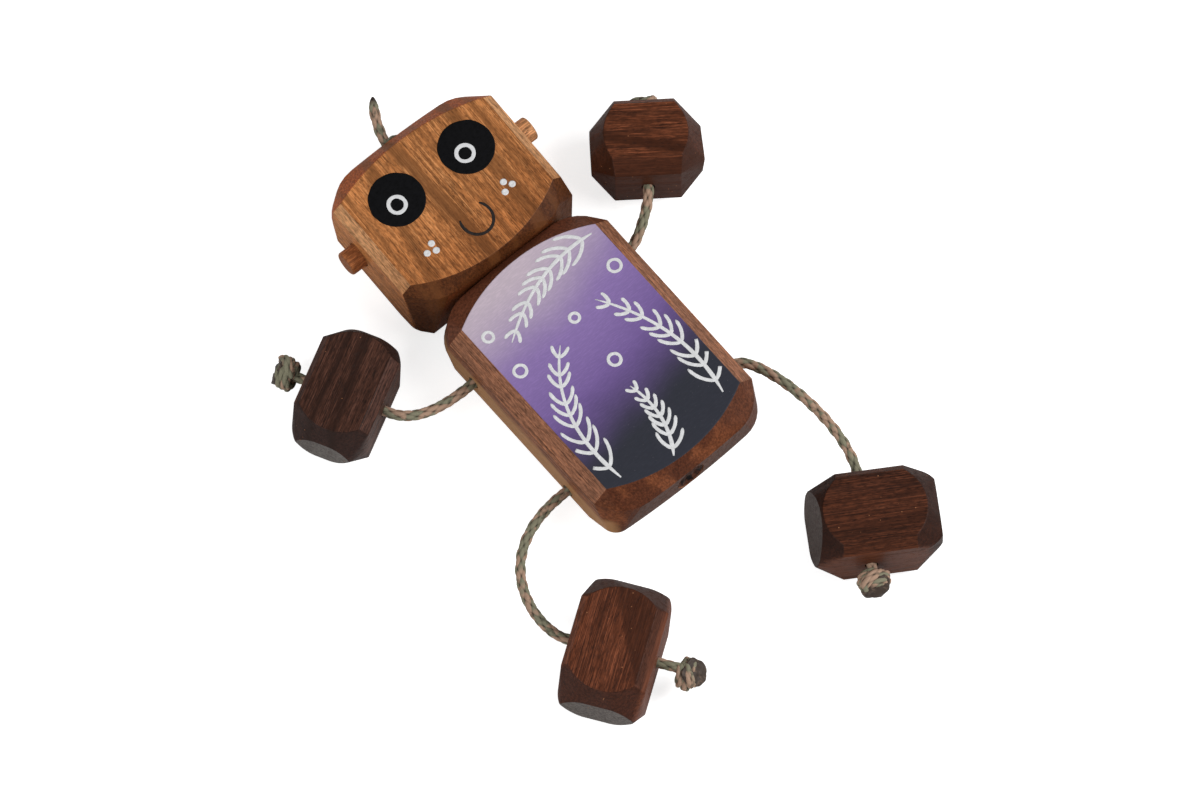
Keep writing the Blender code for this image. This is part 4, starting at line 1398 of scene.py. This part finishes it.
class ROBOTTOY_OT_hands_and_feet(bpy.types.Operator):
    """Adds the four dark blocks at the ends of the cords"""

    bl_idname = "robot_toy.add_hands_and_feet"
    bl_label = "Hands and feet"

    def execute(self, context):
        wood = context.scene.robot_wood
        for index, limb in enumerate(LIMBS):
            mesh = eased_block(barrel_block(limb), limb.end + "_block", wood.edge)
            along = block_turn(limb).col[0]
            centre = joint_place(limb.end + "_twist")
            bore = (centre - along * limb.width, centre + along * limb.width, BORE_RADIUS)
            piece = finish_piece(
                limb.end + "_block", bored(mesh, [bore]), block_material(limb, wood, index),
                "dark_walnut", limb.end, limb.end,
            )
            weigh_normals(piece)
        return {"FINISHED"}


# Brush lines

# Height of a brush line as a share of its width, and the turn of a leaf's middle and tip from its stem
LINE_HEIGHT = 0.10
SMILE_HEIGHT = 0.08
LEAF_OUT = math.radians(58)
LEAF_RISE = math.radians(34)


def flattened(curve, level, depth):
    """Mesh of a round curve pressed flat on a level surface, like a brush line."""
    line = bpy.data.objects.new("brush_line", curve)
    bpy.context.scene.collection.objects.link(line)
    bpy.context.view_layer.update()
    graph = bpy.context.evaluated_depsgraph_get()
    mesh = bpy.data.meshes.new_from_object(line.evaluated_get(graph))
    bpy.data.objects.remove(line, do_unlink=True)
    bm = bmesh.new()
    bm.from_mesh(mesh)
    bmesh.ops.remove_doubles(bm, verts=bm.verts, dist=1e-7)
    bmesh.ops.scale(bm, vec=(1.0, 1.0, depth), verts=bm.verts)
    bmesh.ops.translate(bm, vec=(0.0, 0.0, level), verts=bm.verts)
    return mesh_from(bm, "brush_lines")


def brush_curve(lines, width):
    """Curve of several brush lines, each a list of points in the panel's plane with a share of the width."""
    curve = bpy.data.curves.new("brush_lines", "CURVE")
    curve.dimensions = "3D"
    curve.fill_mode = "FULL"
    curve.bevel_depth = width / 2
    curve.bevel_resolution = 3
    curve.use_fill_caps = True
    for closed, line in lines:
        spline = curve.splines.new("POLY")
        spline.points.add(len(line) - 1)
        spline.use_cyclic_u = closed
        for index, (x, y, share) in enumerate(line):
            wobble = 1.0 + 0.16 * noise.noise(Vector((x * 900.0, y * 900.0, 1.7)))
            spline.points[index].co = (x, y, 0.0, 1.0)
            spline.points[index].radius = share * wobble
    return curve


def ring_line(x, y, radius, share=1.0, steps=36):
    """Closed round brush line."""
    line = []
    for step in range(steps):
        angle = 2 * math.pi * step / steps
        uneven = 1.0 + 0.05 * noise.noise(Vector((x * 700.0 + math.cos(angle), y * 700.0, math.sin(angle))))
        line.append((x + radius * uneven * math.cos(angle), y + radius * uneven * math.sin(angle), share))
    return True, line


def stem_line(start, bend, end, thick, thin, steps=24):
    """Curved brush line that thins from one end to the other, with rounded tips."""
    line = []
    for step in range(steps + 1):
        t = step / steps
        x = (1 - t) ** 2 * start[0] + 2 * t * (1 - t) * bend[0] + t * t * end[0]
        y = (1 - t) ** 2 * start[1] + 2 * t * (1 - t) * bend[1] + t * t * end[1]
        tip = min(1.0, 0.35 + 6 * t, 0.35 + 6 * (1 - t))
        line.append((x, y, tip * (thick + (thin - thick) * t)))
    return False, line


def on_panel(line, margin):
    """The first stretch of a line that stays on the painted face."""
    kept = []
    for x, y, share in line:
        if abs(x) > PANEL_HALF_WIDTH - margin:
            break
        sagitta = PANEL_END_RADIUS - math.sqrt(PANEL_END_RADIUS**2 - x * x)
        if abs(y) > PANEL_HALF_LENGTH - sagitta - margin:
            break
        kept.append((x, y, share))
    return kept


# Each sprig's root, bend and tip on the panel, its pairs of leaves and the longest leaf
SPRIGS = (
    ((-0.0205, -0.0335), (-0.0250, -0.0060), (-0.0070, 0.0105), 9, 0.0105),
    ((0.0235, 0.0318), (0.0030, 0.0350), (-0.0175, 0.0205), 9, 0.0098),
    ((0.0205, -0.0325), (0.0260, -0.0080), (0.0105, 0.0150), 9, 0.0100),
    ((-0.0040, -0.0385), (0.0040, -0.0270), (0.0005, -0.0130), 7, 0.0078),
)
# Each ring's place on the panel and its radius
RINGS = (
    (0.0025, -0.0035, 0.0019), (-0.0215, 0.0120, 0.0019), (0.0220, 0.0195, 0.0020),
    (-0.0218, 0.0265, 0.0016), (0.0020, 0.0145, 0.0015),
)


class ROBOTTOY_OT_panel_lines(bpy.types.Operator):
    """Adds the white fern sprigs and rings brushed on the painted front"""

    bl_idname = "robot_toy.add_panel_lines"
    bl_label = "Panel lines"

    def execute(self, context):
        paint = context.scene.robot_paint
        lines = []
        for sprig in SPRIGS:
            for closed, line in self.fern(*sprig):
                kept = on_panel(line, 0.6 * paint.line)
                if len(kept) > 3:
                    lines.append((closed, kept))
        for x, y, radius in RINGS:
            lines.append(ring_line(x, y, radius, 0.75))
        mesh = flattened(brush_curve(lines, paint.line), FRONT_Z, LINE_HEIGHT)
        white = brush_material("white_paint", paint.white, 0.42, toned(paint.white, 0.84), 0.2)
        finish_piece("panel_lines", mesh, white, "body_walnut", "body")
        return {"FINISHED"}

    def fern(self, start, bend, end, leaves, reach):
        """Curved stem with pairs of leaf strokes that shorten towards its tip."""
        stem = stem_line(start, bend, end, 1.0, 0.6)
        lines = [stem]
        points = stem[1]
        for leaf in range(leaves):
            share = 0.12 + 0.80 * leaf / (leaves - 1)
            index = min(len(points) - 2, int(share * (len(points) - 1)))
            x, y, _ = points[index]
            heading = math.atan2(points[index + 1][1] - y, points[index + 1][0] - x)
            length = reach * (1.0 - 0.62 * share)
            for side in (-1, 1):
                out = heading + side * LEAF_OUT
                rise = heading + side * LEAF_RISE
                tip = (x + length * math.cos(rise), y + length * math.sin(rise))
                elbow = (x + 0.55 * length * math.cos(out), y + 0.55 * length * math.sin(out))
                lines.append(stem_line((x, y), elbow, tip, 0.85, 0.8, 14))
        return lines


# Where the face is painted, on the head's front
EYES = (("right_eye_patch", -0.0141, 0.0780), ("left_eye_patch", 0.0128, 0.0774))
EYE_RINGS = ((-0.0151, 0.07665), (0.0112, 0.0761))
EYE_RING_RADIUS = 0.00262
EYE_RING_WIDTH = 0.00135
SMILE_CENTRE = (0.0003, 0.0579)
SMILE_RADII = (0.0050, 0.0053)
SMILE_WIDTH = 0.0010
SMILE_START = 40
SMILE_SWEEP = -250
CHEEK_DOTS = (
    (0.0140, 0.0616), (0.0156, 0.0594), (0.0123, 0.0588),
    (-0.0153, 0.0605), (-0.0156, 0.0579), (-0.0183, 0.0589),
)
DOT_RADIUS = 0.00112
FILM = 0.00007
FILM_SUNK = 0.00002
DROP_HEIGHT = 0.00022


class ROBOTTOY_OT_face(bpy.types.Operator):
    """Adds the painted face: eye patches, white rings, smile and cheek dots"""

    bl_idname = "robot_toy.add_face"
    bl_label = "Face"

    def execute(self, context):
        paint = context.scene.robot_paint
        black = brush_material("black_paint", paint.black, 0.50, toned(paint.black, 2.2), 0.08)
        white = brush_material("white_face_paint", paint.white, 0.40, toned(paint.white, 0.88), 0.2)
        ink = brush_material("smile_paint", paint.ink, 0.55, toned(paint.ink, 1.7), 0.1)
        for name, x, y in EYES:
            finish_piece(name, self.paint_patch(name, x, y, paint.eye), black, "head_wood", "head")
        rings = [ring_line(x, y, EYE_RING_RADIUS) for x, y in EYE_RINGS]
        mesh = flattened(brush_curve(rings, EYE_RING_WIDTH), FRONT_Z + FILM, LINE_HEIGHT)
        finish_piece("eye_rings", mesh, white, "head_wood", "head")
        mesh = flattened(brush_curve([(False, self.smile())], SMILE_WIDTH), FRONT_Z, SMILE_HEIGHT)
        finish_piece("smile_line", mesh, ink, "head_wood", "head")
        finish_piece("cheek_dots", self.paint_drops(), white, "head_wood", "head")
        return {"FINISHED"}

    def smile(self):
        """Points of the smile's arc, which is open towards the top of the head."""
        points = []
        steps = 36
        for step in range(steps + 1):
            t = step / steps
            angle = math.radians(SMILE_START + SMILE_SWEEP * t)
            tip = min(1.0, 0.5 + 7 * t, 0.5 + 7 * (1 - t))
            x = SMILE_CENTRE[0] + SMILE_RADII[0] * math.cos(angle)
            points.append((x, SMILE_CENTRE[1] + SMILE_RADII[1] * math.sin(angle), tip))
        return points

    def paint_patch(self, name, x, y, radius):
        """Thin round film of paint with a slightly uneven edge."""
        bm = bmesh.new()
        place = Matrix.Translation((x, y, FRONT_Z - FILM_SUNK))
        made = bmesh.ops.create_circle(bm, cap_ends=True, segments=120, radius=radius, matrix=place)
        for vert in made["verts"]:
            out = vert.co - Vector((x, y, vert.co.z))
            vert.co += out * 0.018 * noise.noise(vert.co * 420.0)
        top = bmesh.ops.extrude_face_region(bm, geom=bm.faces[:])
        raised = [item for item in top["geom"] if isinstance(item, bmesh.types.BMVert)]
        bmesh.ops.translate(bm, vec=(0.0, 0.0, FILM + FILM_SUNK), verts=raised)
        face = max(bm.faces, key=lambda item: item.calc_center_median().z)
        bmesh.ops.inset_region(bm, faces=[face], thickness=0.0003, depth=0.00002, use_even_offset=True)
        return mesh_from(bm, name)

    def paint_drops(self):
        """Small round drops of paint with a shallow dimple."""
        bm = bmesh.new()
        profile = ((0.0, 0.55), (0.25, 0.60), (0.42, 0.95), (0.70, 1.0), (0.92, 0.62), (1.0, -0.2))
        for x, y in CHEEK_DOTS:
            points = []
            for out, up in profile:
                points.append(bm.verts.new((x + out * DOT_RADIUS, y, FRONT_Z + DROP_HEIGHT * up)))
            edges = [bm.edges.new(pair) for pair in zip(points, points[1:])]
            bmesh.ops.spin(
                bm, geom=points + edges, cent=(x, y, 0.0), axis=UP, angle=2 * math.pi, steps=28,
                use_merge=True,
            )
        bmesh.ops.remove_doubles(bm, verts=bm.verts, dist=1e-7)
        rims = [edge for edge in bm.edges if edge.is_boundary]
        bmesh.ops.holes_fill(bm, edges=rims, sides=0)
        return mesh_from(bm, "cheek_dots")


class ROBOTTOY_PT_panel(bpy.types.Panel):
    """Lists the toy's pieces and their settings"""

    bl_idname = "ROBOTTOY_PT_panel"
    bl_label = "Robot Toy"
    bl_space_type = "VIEW_3D"
    bl_region_type = "UI"
    bl_category = "Robot Toy"

    def draw(self, context):
        for group in SETTINGS:
            box = self.layout.box()
            settings = getattr(context.scene, group)
            for field in settings.bl_rna.properties:
                if field.identifier not in ("rna_type", "name"):
                    box.prop(settings, field.identifier)
        for operator in OPERATORS:
            self.layout.operator(operator.bl_idname)


SETTINGS = {
    "robot_wood": WoodSettings,
    "robot_cord": CordSettings,
    "robot_paint": PaintSettings,
    "robot_stage": StageSettings,
}
OPERATORS = (
    ROBOTTOY_OT_stage,
    ROBOTTOY_OT_limb_cords,
    ROBOTTOY_OT_knots,
    ROBOTTOY_OT_inner_cords,
    ROBOTTOY_OT_antenna,
    ROBOTTOY_OT_body,
    ROBOTTOY_OT_neck_plug,
    ROBOTTOY_OT_panel_lines,
    ROBOTTOY_OT_head,
    ROBOTTOY_OT_ears,
    ROBOTTOY_OT_face,
    ROBOTTOY_OT_hands_and_feet,
)


def register():
    """Registers the settings, operators and panel."""
    for name, group in SETTINGS.items():
        bpy.utils.register_class(group)
        setattr(bpy.types.Scene, name, bpy.props.PointerProperty(type=group))
    for operator in OPERATORS:
        bpy.utils.register_class(operator)
    bpy.utils.register_class(ROBOTTOY_PT_panel)


def unregister():
    """Removes them again."""
    bpy.utils.unregister_class(ROBOTTOY_PT_panel)
    for operator in reversed(OPERATORS):
        bpy.utils.unregister_class(operator)
    for name, group in SETTINGS.items():
        delattr(bpy.types.Scene, name)
        bpy.utils.unregister_class(group)


def main():
    """Builds the whole toy."""
    register()
    for operator in OPERATORS:
        section, call = operator.bl_idname.split(".")
        getattr(getattr(bpy.ops, section), call)()


if __name__ == "__main__":
    main()
